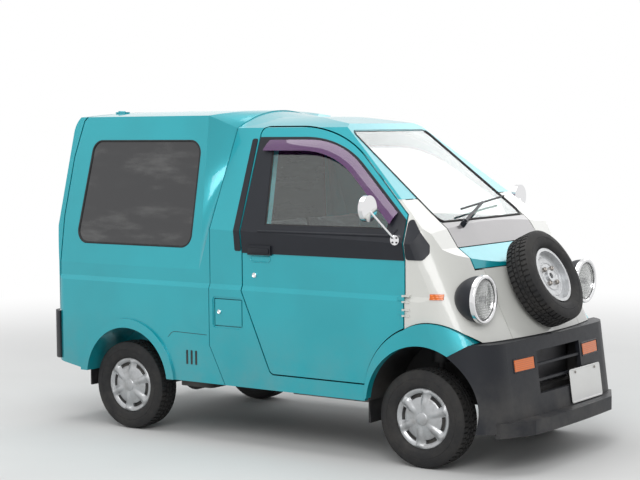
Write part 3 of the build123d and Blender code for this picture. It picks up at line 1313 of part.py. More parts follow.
knuckle = panel(
    block(
        (FRONT_AXLE_X - KNUCKLE_W / 2, -KINGPIN_Y - KNUCKLE_W / 2, TYRE_R - KNUCKLE_H / 2),
        (FRONT_AXLE_X + KNUCKLE_W / 2, -KINGPIN_Y + KNUCKLE_W / 2, TYRE_R + KNUCKLE_H / 2),
    ),
    joined=[
        rod((FRONT_AXLE_X, -KINGPIN_Y, TYRE_R - KINGPIN_REACH), (FRONT_AXLE_X, -KINGPIN_Y, TYRE_R + KINGPIN_REACH), KINGPIN_R),
        rod((FRONT_AXLE_X, -KINGPIN_Y, TYRE_R), (FRONT_AXLE_X, -HALF_TRACK - RIM_W / 4 - HUB_L / 2, TYRE_R), SPINDLE_R),
        rod((FRONT_AXLE_X, -KINGPIN_Y - EYE_R - PANEL_GAP, TYRE_R), (FRONT_AXLE_X, -HALF_TRACK, TYRE_R), DRUM_R),
    ],
)
finish(knuckle, "knuckle_right")
finish(mirrored(knuckle), "knuckle_left")

# Road wheels and tyres
road_tyre = tyre(TYRE_W)
road_wheel = rim(True)
for axle_name, axle_x in (("front", FRONT_AXLE_X), ("rear", REAR_AXLE_X)):
    place = Location((axle_x, -HALF_TRACK, TYRE_R))
    for kind, piece in (("tyre", road_tyre), ("wheel", road_wheel)):
        right_piece = piece.moved(place)
        finish(right_piece, f"{kind}_{axle_name}_right")
        finish(mirrored(right_piece), f"{kind}_{axle_name}_left")

# Mud flaps behind the wheels
flaps = []
for (arch_x, arch_z), arch_r, flap_z in (
    (FRONT_ARCH, FRONT_ARCH_R, FRONT_FLAP_Z),
    (REAR_ARCH, REAR_ARCH_R, REAR_FLAP_Z),
):
    flap_x = arch_x - arch_r - WELL_T
    plate = block((flap_x - FLAP_T, -FLAP_Y[1], flap_z[0]), (flap_x + FLAP_T, -FLAP_Y[0], flap_z[1]))
    flaps.append(panel(plate, [disc_y((arch_x, arch_z), arch_r + WELL_T, -FAR, 0)]))
flap = panel(flaps[0], joined=flaps[1:])
finish(pair(flap), "mud_flaps")

# Cab interior
dashboard = across(side_face(DASH, SEAT_R / 2), -DASH_Y, DASH_Y)
dashboard = panel(dashboard, regions=[cab_fit])
finish(dashboard, "dashboard")
steering_plane = Plane(origin=(WHEEL_X, WHEEL_Y, WHEEL_Z), z_dir=Vector(-1, 0, 0).rotate(Axis.Y, 90 - WHEEL_TILT))
with BuildPart() as steering:
    with BuildSketch(Plane.XZ):
        with Locations((WHEEL_R, 0)):
            Circle(WHEEL_GRIP_R)
    revolve(axis=Axis.Z)
    with BuildSketch(Plane.XY.offset(-WHEEL_GRIP_R / 2)):
        Circle(WHEEL_R / 4)
        Rectangle(2 * WHEEL_R, WHEEL_GRIP_R * 2)
    extrude(amount=WHEEL_GRIP_R)
    with BuildSketch(Plane.XY):
        Circle(COLUMN_R)
    extrude(amount=-COLUMN_L)
steering_wheel = panel(steering.part.moved(steering_plane.location), [dashboard])
finish(steering_wheel, "steering_wheel")
cushion = across(side_face(CUSHION, SEAT_R / 2), -SEAT_Y - SEAT_W / 2, -SEAT_Y + SEAT_W / 2)
back = across(side_face(BACK, SEAT_R), -SEAT_Y - SEAT_W / 2, -SEAT_Y + SEAT_W / 2)
finish(panel(pair(cushion), joined=[pair(back)]), "seats")

# Wiper across the foot of the windscreen
screen_up = Vector(-SCREEN_SLOPE, 0, 1).normalized()
wiper_plane = Plane(origin=(SCREEN_X, 0, SCREEN_Z), x_dir=(0, 1, 0), z_dir=Vector(0, 1, 0).cross(screen_up))
with BuildPart() as wiper_solid:
    with BuildSketch(wiper_plane.offset(WIPER_LIFT)):
        for start, end, width in ((WIPER_PIVOT, WIPER_TIP, WIPER_W), (BLADE_FROM, BLADE_TO, WIPER_W / 2)):
            run = Vector(*end) - Vector(*start)
            middle = (Vector(*end) + Vector(*start)) / 2
            with Locations(Location((middle.X, middle.Y), degrees(atan2(run.Y, run.X)))):
                Rectangle(run.length, width)
    extrude(amount=WIPER_T)
    with BuildSketch(wiper_plane.offset(-WIPER_LIFT)):
        with Locations(WIPER_PIVOT):
            Circle(WIPER_W)
    extrude(amount=2 * WIPER_LIFT)
wiper = panel(wiper_solid.part, [cab_outer])
finish(wiper, "wiper")
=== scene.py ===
import math

import bmesh
import bpy
from mathutils import Matrix, Vector


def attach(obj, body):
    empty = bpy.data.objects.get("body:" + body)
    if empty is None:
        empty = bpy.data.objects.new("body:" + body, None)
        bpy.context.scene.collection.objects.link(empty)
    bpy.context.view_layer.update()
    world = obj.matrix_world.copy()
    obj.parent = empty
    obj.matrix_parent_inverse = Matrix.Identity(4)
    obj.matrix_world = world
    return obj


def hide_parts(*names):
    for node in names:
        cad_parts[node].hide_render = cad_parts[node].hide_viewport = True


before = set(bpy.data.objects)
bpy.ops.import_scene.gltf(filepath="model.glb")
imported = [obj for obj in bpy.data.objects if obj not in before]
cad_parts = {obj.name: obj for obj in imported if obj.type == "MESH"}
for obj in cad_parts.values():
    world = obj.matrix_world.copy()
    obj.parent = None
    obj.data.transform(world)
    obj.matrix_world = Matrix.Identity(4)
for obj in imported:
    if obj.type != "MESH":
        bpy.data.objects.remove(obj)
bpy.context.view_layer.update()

bl_info = {
    "name": "Very Small Closed Van",
    "version": (1, 0, 0),
    "blender": (4, 5, 0),
    "location": "3D View > Sidebar > Van",
    "description": "Paints and dresses the solids of a very small closed van and stands it in a studio",
    "category": "Object",
}

SIDES = (("right", -1), ("left", 1))

# Places on the solids, in metres: axles, spare wheel and right head lamp
AXLE_X = {"front": 0.932, "rear": -0.908}
HALF_TRACK = 0.545
AXLE_Z = 0.235
SPARE_CENTRE = Vector((1.259, 0, 0.861))
SPARE_SLOPE = 0.482
LAMP_CENTRE = Vector((1.206, -0.519, 0.805))


# Sizes and colours that a user would change


def colour_setting(name, description, default):
    return bpy.props.FloatVectorProperty(
        name=name, description=description, subtype="COLOR", size=4, min=0, max=1, default=default
    )


def length_setting(name, description, default, low, high):
    return bpy.props.FloatProperty(
        name=name, description=description, default=default, min=low, max=high, unit="LENGTH"
    )


class PaintSettings(bpy.types.PropertyGroup):
    """Colours of the painted, moulded and glazed surfaces."""

    body: colour_setting("Body colour", "Metallic teal of cab, doors and box", (0.0, 0.34, 0.4, 1))
    nose: colour_setting("Nose colour", "White of the nose panels", (0.6, 0.6, 0.565, 1))
    cowl: colour_setting("Cowl colour", "Grey of the panel below the windscreen", (0.2, 0.19, 0.195, 1))
    plastic: colour_setting("Plastic colour", "Black of bumpers and window trim", (0.011, 0.0125, 0.017, 1))
    dust: bpy.props.FloatProperty(
        name="Road dust", description="How much dust lies on the low parts", default=0.22,
        min=0, max=1, subtype="FACTOR",
    )
    visor: colour_setting("Visor colour", "Smoked purple of the rain visors", (0.16, 0.045, 0.2, 1))


class TyreSettings(bpy.types.PropertyGroup):
    """Sizes of the tyres' tread."""

    groove: length_setting("Groove depth", "Depth of the tread's grooves", 0.006, 0.001, 0.01)
    pitches: bpy.props.IntProperty(
        name="Tread pitches", description="Blocks round the tyre", default=54, min=12, max=90
    )


class TrimSettings(bpy.types.PropertyGroup):
    """Sizes of seals, visors and small fittings."""

    seal: length_setting("Seal radius", "Radius of the rubber round a fixed window", 0.0065, 0.002, 0.02)
    visor_width: length_setting("Visor width", "Width of the rain visor", 0.058, 0.02, 0.1)
    plate_width: length_setting("Plate width", "Width of the blank number plate", 0.33, 0.1, 0.6)
    plate_height: length_setting("Plate height", "Height of the blank number plate", 0.165, 0.05, 0.3)
    screw: length_setting("Screw radius", "Radius of the trim screws' heads", 0.006, 0.002, 0.02)


class StageSettings(bpy.types.PropertyGroup):
    """Camera, lamps and floor."""

    camera_place: bpy.props.FloatVectorProperty(
        name="Camera place", description="Where the camera stands", subtype="TRANSLATION", unit="LENGTH",
        default=(4.845, -6.858, 1.601),
    )
    camera_turn: bpy.props.FloatVectorProperty(
        name="Camera turn", description="Heading, pitch and roll of the camera", subtype="EULER",
        default=(2.19347, -0.07085, -0.00851),
    )
    lens: bpy.props.FloatProperty(
        name="Lens", description="Focal length on a 36 mm sensor, in millimetres", default=89.5, min=10,
        max=300,
    )
    key: bpy.props.FloatProperty(
        name="Key lamp", description="Power of the large lamp on the camera's side", default=330, min=0,
        unit="POWER",
    )
    floor: colour_setting("Floor colour", "Pale colour of the floor", (0.62, 0.62, 0.61, 1))


# Materials


class Wire:
    """An output of a material's node, on which sums are written as in Python."""

    def __init__(self, finish, socket):
        self.finish = finish
        self.socket = socket

    def sum(self, operation, *terms):
        return self.finish.node("ShaderNodeMath", {"operation": operation}, dict(enumerate(terms)))

    def __add__(self, other):
        return self.sum("ADD", self, other)

    __radd__ = __add__

    def __sub__(self, other):
        return self.sum("SUBTRACT", self, other)

    def __rsub__(self, other):
        return self.sum("SUBTRACT", other, self)

    def __mul__(self, other):
        return self.sum("MULTIPLY", self, other)

    __rmul__ = __mul__

    def ramp(self, low, high):
        """0 below low, 1 above high, smooth between; a falling ramp has low above high."""
        return self.finish.node(
            "ShaderNodeMapRange",
            {"interpolation_type": "SMOOTHSTEP"},
            {"Value": self, "From Min": low, "From Max": high},
        )

    def wave(self, length):
        """Sine of the value, from 0 to 1 and back over the length."""
        return self.sum("SINE", self * (2 * math.pi / length)) * 0.5 + 0.5


class Finish:
    """One material: constants go on the shader's sockets, patterns are wired to them."""

    def __init__(self, name, constants):
        self.material = bpy.data.materials.new(name)
        self.material.use_nodes = True
        self.tree = self.material.node_tree
        self.shader = self.tree.nodes["Principled BSDF"]
        for socket, value in constants.items():
            self.shader.inputs[socket].default_value = value
        self.place = self.node("ShaderNodeTexCoord", output="Object")

    def node(self, kind, settings=None, values=None, output=0):
        made = self.tree.nodes.new(kind)
        for key, value in (settings or {}).items():
            setattr(made, key, value)
        for key, value in (values or {}).items():
            if isinstance(value, Wire):
                self.tree.links.new(value.socket, made.inputs[key])
            else:
                made.inputs[key].default_value = value
        return Wire(self, made.outputs[output])

    def feed(self, socket, wire):
        self.tree.links.new(wire.socket, self.shader.inputs[socket])

    def axis(self, name):
        return self.node("ShaderNodeSeparateXYZ", values={"Vector": self.place}, output=name)

    def noise(self, scale, detail=2.0, rough=0.5, stretch=None):
        place = self.place
        if stretch:
            place = self.node("ShaderNodeVectorMath", {"operation": "MULTIPLY"}, {0: place, 1: stretch})
        return self.node(
            "ShaderNodeTexNoise",
            values={"Vector": place, "Scale": scale, "Detail": detail, "Roughness": rough},
        )

    def cells(self, scale):
        return self.node("ShaderNodeTexVoronoi", values={"Vector": self.place, "Scale": scale})

    def mix(self, factor, first, second):
        return self.node("ShaderNodeMix", {"data_type": "RGBA"}, {0: factor, 6: first, 7: second}, output=2)

    def bump(self, height, strength, distance):
        values = {"Height": height, "Strength": strength, "Distance": distance}
        return self.node("ShaderNodeBump", values=values)

    def dressed(self, mask, plain, over, rough, *bump):
        """Colour over where the mask is 1, else plain; roughness; height, strength and distance of a bump."""
        self.feed("Base Color", self.mix(mask, plain, over))
        self.feed("Roughness", rough)
        if bump:
            self.feed("Normal", self.bump(*bump))
        return self.material

    def dust(self, top, amount):
        """Mask of dust that thins out upwards to the height top."""
        return self.axis("Z").ramp(top, top * 0.35) * self.noise(5.0, 5.0, 0.6).ramp(0.3, 0.75) * amount


def shade(colour, factor):
    return tuple(min(1, channel * factor) for channel in colour[:3]) + (1,)


DUST = (0.24, 0.225, 0.2, 1)


def paint(name, colour, metal, dust):
    """Glossy coated paint, a little uneven, with dust low down."""
    made = Finish(
        name,
        {"Metallic": metal, "Coat Weight": 0.8, "Coat Roughness": 0.04, "Specular IOR Level": 0.5},
    )
    low = made.dust(0.75, dust)
    uneven = made.noise(2.4, 3.0).ramp(0.3, 0.7)
    clean = made.mix(uneven, shade(colour, 0.94), shade(colour, 1.04))
    rough = low * 0.35 + made.noise(38.0, 4.0) * 0.08 + 0.26
    return made.dressed(low, clean, DUST, rough, made.noise(700.0, 1.0), 0.035, 0.0004)


# Heights between which moulded trim goes over into painted hinges
HINGES_BELOW = (0.9, 0.88)


def moulded(name, colour, roughness, dust, grain=0.22, hinge_colour=None):
    """Grained moulded plastic that greys where it is worn; with a hinge colour, its low parts are painted."""
    made = Finish(name, {"Specular IOR Level": 0.3})
    low = made.dust(0.55, dust)
    worn = made.noise(9.0, 6.0, 0.65).ramp(0.45, 0.85) * 0.22
    grey = made.mix(worn, colour, shade(colour, 2.1))
    dusty = made.mix(low, grey, DUST)
    if hinge_colour is not None:
        dusty = made.mix(made.axis("Z").ramp(*HINGES_BELOW), dusty, tuple(hinge_colour))
    made.feed("Base Color", dusty)
    made.feed("Roughness", made.noise(30.0, 4.0) * 0.16 + low * 0.3 + (roughness - 0.08))
    made.feed("Normal", made.bump(made.cells(520.0) + made.noise(900.0, 2.0) * 0.5, grain, 0.0005))
    return made.material


def metal(name, colour, roughness, dirt=0.0):
    """Bare or plated metal with fine wear."""
    made = Finish(name, {"Specular IOR Level": 0.5})
    grime = made.noise(24.0, 6.0, 0.7).ramp(0.5, 0.78) * dirt
    made.feed("Metallic", 1 - grime)
    rough = made.noise(60.0, 4.0) * 0.08 + grime * 0.4 + roughness
    return made.dressed(grime, colour, (0.06, 0.05, 0.04, 1), rough, made.noise(240.0, 3.0), 0.03, 0.0004)


def wheel_silver(name, colour, metallic, dirt):
    """Silver wheel lacquer, dull with brake dust in patches."""
    made = Finish(name, {"Metallic": metallic, "Coat Weight": 0.35, "Coat Roughness": 0.15})
    grime = made.noise(16.0, 6.0, 0.7).ramp(0.42, 0.8) * dirt
    rough = grime * 0.3 + made.noise(70.0, 3.0) * 0.1 + 0.3
    return made.dressed(grime, colour, (0.15, 0.135, 0.12, 1), rough, made.noise(320.0, 3.0), 0.04, 0.0004)


def tyre_rubber():
    """Black tyre rubber, browned by the road."""
    made = Finish("tyre_rubber", {"Specular IOR Level": 0.35})
    brown = made.noise(9.0, 6.0, 0.7).ramp(0.35, 0.8) * 0.6
    rough = made.noise(50.0, 5.0) * 0.2 + 0.62
    black = (0.014, 0.014, 0.015, 1)
    return made.dressed(brown, black, (0.05, 0.046, 0.041, 1), rough, made.noise(420.0, 4.0), 0.25, 0.0006)


def soft_rubber():
    """Seal and mud flap rubber."""
    made = Finish("soft_rubber", {"Specular IOR Level": 0.35})
    grey = made.noise(20.0, 5.0, 0.6).ramp(0.4, 0.8) * 0.5
    rough = made.noise(80.0, 3.0) * 0.15 + 0.5
    black = (0.012, 0.012, 0.013, 1)
    return made.dressed(grey, black, (0.045, 0.043, 0.042, 1), rough, made.noise(600.0, 3.0), 0.12, 0.0004)


def glazing(name, colour, clear, index):
    """Glass, clear or tinted, with faint smears."""
    made = Finish(
        name, {"Transmission Weight": clear, "IOR": index, "Coat Weight": 0.6, "Coat Roughness": 0.01}
    )
    smear = made.noise(3.0, 5.0, 0.6, (1.0, 1.0, 4.0)).ramp(0.45, 0.8)
    return made.dressed(smear * 0.12, colour, (0.5, 0.5, 0.48, 1), smear * 0.025 + 0.004)


def lens(name, colour, clear, coat, ribs):
    """Coloured lamp lens with moulded prisms behind its face, their facets painted darker and paler as shade
    and highlight.
    """
    made = Finish(
        name, {"Transmission Weight": clear, "IOR": 1.5, "Coat Weight": coat, "Coat Roughness": 0.02}
    )
    prisms = made.axis("Y").wave(ribs) * made.axis("Z").wave(ribs)
    rough = prisms * 0.08 + 0.08
    # The colour runs darker and paler with the prisms: painted shade and highlight of their facets
    return made.dressed(prisms, shade(colour, 0.72), shade(colour, 1.12), rough, prisms, 0.25, 0.001)


# Width of a thread of the seats' cloth and its gap
THREAD = 0.0026


def seat_cloth():
    """Grey woven seat cloth."""
    made = Finish("seat_cloth", {"Sheen Weight": 0.35, "Sheen Roughness": 0.4, "Specular IOR Level": 0.25})
    weft = made.axis("Y").wave(THREAD) * made.axis("Z").wave(THREAD)
    warp = made.axis("X").wave(THREAD)
    weave = weft * 0.6 + warp * 0.4
    fleck = made.noise(60.0, 4.0).ramp(0.4, 0.7)
    light = weave * 0.5 + fleck * 0.3
    dark, pale = (0.05, 0.054, 0.062, 1), (0.17, 0.175, 0.185, 1)
    return made.dressed(light, dark, pale, fleck * 0.1 + 0.82, weave, 0.35, 0.0006)


# Distances from the middle of the floor between which it fades to white
FLOOR_FADE = (2.6, 7.5)


def ground(colour):
    """Pale studio floor, bare white to the camera far out."""
    made = Finish("studio_floor", {"Specular IOR Level": 0.2})
    away = made.node("ShaderNodeVectorMath", {"operation": "LENGTH"}, {0: made.place}, output="Value")
    far = away.ramp(*FLOOR_FADE)
    seen = [made.node("ShaderNodeLightPath", output=ray) for ray in ("Is Camera Ray", "Is Glossy Ray")]
    glow = made.node("ShaderNodeEmission", values={"Color": (1, 1, 1, 1), "Strength": 1.0})
    blend = made.node("ShaderNodeMixShader", values={0: far * seen[0].sum("MAXIMUM", *seen)})
    for slot, shader in ((1, made.shader.outputs[0]), (2, glow.socket)):
        made.tree.links.new(shader, blend.socket.node.inputs[slot])
    made.tree.links.new(blend.socket, made.tree.nodes["Material Output"].inputs["Surface"])
    cloud = made.noise(0.6, 4.0).ramp(0.3, 0.7)
    rough = made.noise(3.0, 3.0) * 0.1 + 0.7
    light, pale = shade(colour, 0.97), shade(colour, 1.02)
    return made.dressed(cloud, light, pale, rough, made.noise(140.0, 3.0), 0.05, 0.001)


FINISHES = {}


def make_finishes(colours):
    """Makes every material once, by name."""
    FINISHES.update(
        body=paint("body_teal", colours.body, 0.35, colours.dust),
        nose=paint("nose_white", colours.nose, 0.0, colours.dust * 0.6),
        cowl=paint("cowl_grey", colours.cowl, 0.1, colours.dust * 0.6),
        plastic=moulded("black_plastic", colours.plastic, 0.44, colours.dust),
        pillar=moulded("pillar_plastic", colours.plastic, 0.44, 0.0, hinge_colour=colours.nose),
        gloss=moulded("handle_plastic", colours.plastic, 0.22, 0.0, 0.04),
        cabin=moulded("cabin_plastic", (0.045, 0.047, 0.052, 1), 0.6, 0.0, 0.35),
        steel=moulded("black_steel", (0.016, 0.016, 0.017, 1), 0.5, colours.dust * 1.6, 0.12),
        bright=metal("bright_plating", (0.78, 0.78, 0.79, 1), 0.05),
        rim=wheel_silver("spare_rim_silver", (0.5, 0.51, 0.52, 1), 0.55, 0.35),
        mirror=metal("lamp_reflector", (0.86, 0.86, 0.84, 1), 0.12),
        pipe=metal("exhaust_steel", (0.3, 0.28, 0.26, 1), 0.4, 0.6),
        iron=metal("cast_iron", (0.16, 0.155, 0.15, 1), 0.55, 0.7),
        cooler=metal("cooler_core", (0.08, 0.08, 0.085, 1), 0.45, 0.5),
        silver=wheel_silver("wheel_silver", (0.44, 0.45, 0.46, 1), 0.75, 0.5),
        tyre=tyre_rubber(),
        rubber=soft_rubber(),
        clear=glazing("window_glass", (0.82, 0.9, 0.88, 1), 1.0, 1.5),
        tinted=glazing("tinted_glass", (0.012, 0.012, 0.014, 1), 0.0, 1.5),
        orange=lens("orange_lens", (0.85, 0.17, 0.004, 1), 0.0, 0.25, 0.009),
        red=lens("red_lens", (0.42, 0.008, 0.007, 1), 0.0, 0.3, 0.01),
        lamp=lens("lamp_glass", (0.92, 0.94, 0.94, 1), 0.95, 0.8, 0.012),
        visor=glazing("smoked_purple", colours.visor, 0.55, 1.45),
        cloth=seat_cloth(),
        plate=paint("plate_white", (0.74, 0.74, 0.72, 1), 0.0, 0.1),
    )


NODE_FINISH = {
    "body": (
        "cab_shell", "cowl_strip", "front_flares", "door_right", "door_left", "cargo_box", "tailgate",
        "fuel_lid",
    ),
    "nose": ("nose_panels",),
    "cowl": ("cowl_panel",),
    "plastic": (
        "door_trim_right", "door_trim_left", "front_bumper", "rear_bumper", "headlight_pods", "wiper",
    ),
    "pillar": ("pillar_trim",),
    "cabin": ("dashboard", "steering_wheel"),
    "steel": (
        "chassis_frame", "cab_floor", "front_suspension", "rear_axle", "knuckle_right", "knuckle_left",
        "fuel_tank", "spare_carrier",
    ),
    "bright": ("mirror_right", "mirror_left", "headlight_rings"),
    "rim": ("spare_rim",),
    "pipe": ("exhaust",),
    "iron": ("engine",),
    "cooler": ("radiator",),
    "silver": ("wheel_front_right", "wheel_front_left", "wheel_rear_right", "wheel_rear_left"),
    "tyre": ("tyre_front_right", "tyre_front_left", "tyre_rear_right", "tyre_rear_left", "spare_tyre"),
    "rubber": ("mud_flaps",),
    "clear": ("windscreen", "door_glass_right", "door_glass_left"),
    "tinted": ("box_glass", "tailgate_glass"),
    "orange": ("indicators",),
    "red": ("rear_lamps",),
    "lamp": ("headlight_lenses",),
    "cloth": ("seats",),
}


# Modelling tools

# Points closer than this are one point; rays to the solids start this far from the van's middle
SAME_POINT = 0.00001
OUTSIDE = 2.0
ALONG_X = (1, 0, 0)
ALONG_Y = (0, 1, 0)


def deselect():
    if bpy.context.object and bpy.context.object.mode != "OBJECT":
        bpy.ops.object.mode_set(mode="OBJECT")
    bpy.ops.object.select_all(action="DESELECT")


def hold(obj):
    """Makes obj the only selected object."""
    deselect()
    obj.select_set(True)
    bpy.context.view_layer.objects.active = obj
    return obj


def edit(obj, kind="VERT"):
    hold(obj)
    bpy.ops.object.mode_set(mode="EDIT")
    bpy.ops.mesh.select_mode(type=kind)


def pick(obj, kind, test):
    """In edit mode, selects the vertices, edges or faces that pass the test, and only those."""
    bpy.ops.mesh.select_mode(type=kind)
    bpy.ops.mesh.select_all(action="DESELECT")
    work = bmesh.from_edit_mesh(obj.data)
    work.normal_update()
    group = {"VERT": work.verts, "EDGE": work.edges, "FACE": work.faces}[kind]
    found = 0
    for item in group:
        if test(item):
            item.select_set(True)
            found += 1
    bmesh.update_edit_mesh(obj.data)
    return found


def started(name):
    """Names the primitive just added."""
    obj = bpy.context.object
    obj.name = name
    obj.data.name = name
    return obj


def settle(obj):
    """Puts an object's place into its mesh."""
    hold(obj)
    bpy.ops.object.transform_apply(location=True, rotation=True, scale=True)


def select_mesh():
    bpy.ops.mesh.select_all(action="SELECT")


def inset(*steps):
    """In edit mode, insets the picked faces by each pair of thickness and depth."""
    for thickness, depth in steps:
        bpy.ops.mesh.inset(thickness=thickness, depth=depth)


def closed_out(obj):
    """Merges doubles and turns the faces outwards."""
    edit(obj)
    select_mesh()
    bpy.ops.mesh.remove_doubles(threshold=SAME_POINT)
    bpy.ops.mesh.normals_make_consistent(inside=False)
    deselect()


def finished(obj, finish, body, angle=35.0):
    """Settles, smooths, paints and mounts a piece."""
    settle(obj)
    bpy.ops.object.shade_smooth_by_angle(angle=math.radians(angle))
    obj.data.materials.clear()
    obj.data.materials.append(FINISHES[finish])
    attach(obj, body)
    return obj


def modified(obj, kind, **settings):
    """Adds a modifier with these settings and applies it."""
    hold(obj)
    modifier = obj.modifiers.new(kind.lower(), kind)
    for key, value in settings.items():
        setattr(modifier, key, value)
    bpy.ops.object.modifier_apply(modifier=modifier.name)


def bevelled(obj, width, segments=2):
    modified(
        obj, "BEVEL", width=width, segments=segments, limit_method="ANGLE", angle_limit=math.radians(40)
    )


def thickened(obj, thickness, offset=-1.0):
    modified(obj, "SOLIDIFY", thickness=thickness, offset=offset)


def trace(name, points):
    """A line of edges, drawn by extruding one corner from point to point."""
    deselect()
    bpy.ops.mesh.primitive_plane_add(size=0.01, location=points[0])
    obj = started(name)
    edit(obj)
    select_mesh()
    bpy.ops.mesh.merge(type="CENTER")
    for start, end in zip(points, points[1:]):
        bpy.ops.mesh.extrude_vertices_move(
            TRANSFORM_OT_translate={"value": tuple(Vector(end) - Vector(start))}
        )
    return obj


def spun(name, section, axis, steps):
    """A body of revolution; its section is pairs of the place along the axis and the distance from it."""
    obj = trace(name, [Vector(axis) * along + Vector((0, 0, radius)) for along, radius in section])
    select_mesh()
    bpy.ops.mesh.spin(steps=steps, angle=2 * math.pi, center=(0, 0, 0), axis=axis)
    closed_out(obj)
    settle(obj)
    return obj


def tube(name, points, radius, closed=False):
    """A round bar along the points."""
    line = trace(name, points)
    if closed:
        select_mesh()
        bpy.ops.mesh.edge_face_add()
        bpy.ops.mesh.delete(type="ONLY_FACE")
    deselect()
    return tubed(line, radius)


def tubed(line, radius):
    """Turns a mesh of edges into a round bar."""
    hold(line)
    bpy.ops.object.convert(target="CURVE")
    line.data.bevel_depth = radius
    line.data.bevel_resolution = 2
    line.data.use_fill_caps = True
    bpy.ops.object.convert(target="MESH")
    return bpy.context.object


def joined(name, objects):
    deselect()
    for obj in objects:
        obj.select_set(True)
    bpy.context.view_layer.objects.active = objects[0]
    bpy.ops.object.join()
    return started(name)


def copy_of_node(node, name):
    """A merged copy of a solid's mesh, free of its material."""
    obj = bpy.data.objects.new(name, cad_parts[node].data.copy())
    bpy.context.scene.collection.objects.link(obj)
    obj.data.name = name
    obj.data.materials.clear()
    edit(obj)
    select_mesh()
    bpy.ops.mesh.remove_doubles(threshold=2 * SAME_POINT)
    deselect()
    return obj


def surface(nodes, start, direction):
    """The nearest point and normal where a ray from start meets the solids."""
    best = None
    for node in nodes:
        hit, place, normal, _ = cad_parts[node].ray_cast(Vector(start), Vector(direction))
        if hit and (best is None or (place - Vector(start)).length < (best[0] - Vector(start)).length):
            best = (place.copy(), normal.copy())
    if best is None:
        raise RuntimeError(f"no surface of {nodes} in front of {tuple(start)}")
    return best


def on_side(nodes, x, z, sign, lift=0.0):
    """The point and normal of a flank at x and z, the point lifted off it."""
    place, normal = surface(nodes, (x, sign * OUTSIDE, z), (0, -sign, 0))
    return place + normal * lift, normal


def along_side(nodes, points, sign, lift=0.0):
    return [on_side(nodes, x, z, sign, lift)[0] for x, z in points]


def rounded(points, cut, closed=False, steps=5):
    """The points of a line with every corner turned in steps."""
    made = []
    last = len(points) - 1
    for index, point in enumerate(points):
        corner = Vector(point)
        if not closed and index in (0, last):
            made.append(corner)
            continue
        before = Vector(points[index - 1]) - corner
        after = Vector(points[(index + 1) % (last + 1)]) - corner
        start = corner + before.normalized() * min(cut, before.length * 0.45)
        end = corner + after.normalized() * min(cut, after.length * 0.45)
        for step in range(steps + 1):
            run = step / steps
            made.append(start * (1 - run) ** 2 + corner * (2 * run * (1 - run)) + end * run**2)
    return made


def patch(name, points, thickness):
    """A plate with this outline, its wall half inside and half outside the points."""
    obj = trace(name, points)
    select_mesh()
    bpy.ops.mesh.edge_face_add()
    bpy.ops.mesh.normals_make_consistent(inside=False)
    deselect()
    thickened(obj, thickness, 0.0)
    return obj


def stand(obj, place, normal):
    """Turns a piece that was made about Z so that it stands on a surface."""
    turn = Vector(normal).to_track_quat("Z", "Y").to_matrix().to_4x4()
    obj.matrix_world = Matrix.Translation(place) @ turn
    settle(obj)
    return obj


def disc(name, sides, radius, depth, *steps):
    """A flat cylinder whose top is inset in steps."""
    deselect()
    bpy.ops.mesh.primitive_cylinder_add(vertices=sides, radius=radius, depth=depth)
    obj = started(name)
    edit(obj, "FACE")
    pick(obj, "FACE", lambda f: f.normal.z > 0.9)
    inset(*steps)
    return obj


def screw_head(name, place, normal, radius, height=0.003):
    """A domed screw head with a recess sunk in it."""
    steps = (radius * 0.25, height * 0.3), (radius * 0.3, 0.0), (radius * 0.12, -height * 0.4)
    return stand(disc(name, 24, radius, height, *steps), place, normal)


def lock_barrel(name, place, normal, radius):
    """A key lock: a bevelled collar round a sunk barrel."""
    steps = (radius * 0.18, 0.0015), (radius * 0.12, -0.0015), (radius * 0.42, 0.0), (0.0, -0.002)
    return stand(disc(name, 32, radius, 0.006, *steps), place, normal)


# Operators, one for each piece or group of like pieces


class VAN_OT_paint(bpy.types.Operator):
    """Give every solid of the van its material"""

    bl_idname = "van.paint"
    bl_label = "Paint the Solids"

    def execute(self, context):
        make_finishes(context.scene.van_paint)
        painted = set()
        for finish, nodes in NODE_FINISH.items():
            for node in nodes:
                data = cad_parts[node].data
                data.materials.clear()
                data.materials.append(FINISHES[finish])
                painted.add(node)
        missing = set(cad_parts) - painted
        if missing:
            raise RuntimeError(f"no material for {sorted(missing)}")
        return {"FINISHED"}


# Half of a tyre's section: out from the middle of the tread, from the axle; the other half mirrors it
TYRE_TREAD = (
    (0.0, 0.2342), (0.006, 0.2341), (0.0061, 0.2341), (0.021, 0.2338), (0.0211, 0.2338), (0.0265, 0.2337),
    (0.0266, 0.2337), (0.040, 0.2331), (0.0401, 0.2331), (0.045, 0.2326), (0.0565, 0.2305),
)
TYRE_SIDE = (
    (0.0605, 0.2262), (0.0640, 0.2195), (0.0672, 0.2080), (0.0690, 0.1955), (0.0690, 0.1915),
    (0.0678, 0.1905), (0.0678, 0.1865), (0.0689, 0.1855), (0.0680, 0.1740), (0.0655, 0.1620),
    (0.0610, 0.1530), (0.0545, 0.1470), (0.0495, 0.1440), (0.0478, 0.1400), (0.0478, 0.1290),
)
# The tread starts at this distance from the axle
TREAD_START = 0.2295
# Grooves: from and to, out from the tread's middle; which of a pitch's steps, or all; share of the depth
GROOVES = (
    (0.0211, 0.0265, None, 1.0),
    (-1.0, 0.0055, None, 0.8),
    (0.028, 0.06, 0, 0.9),
    (0.008, 0.0205, 1, 0.7),
)
STEPS_PER_PITCH = 3
SPARE_NARROWED = 0.985


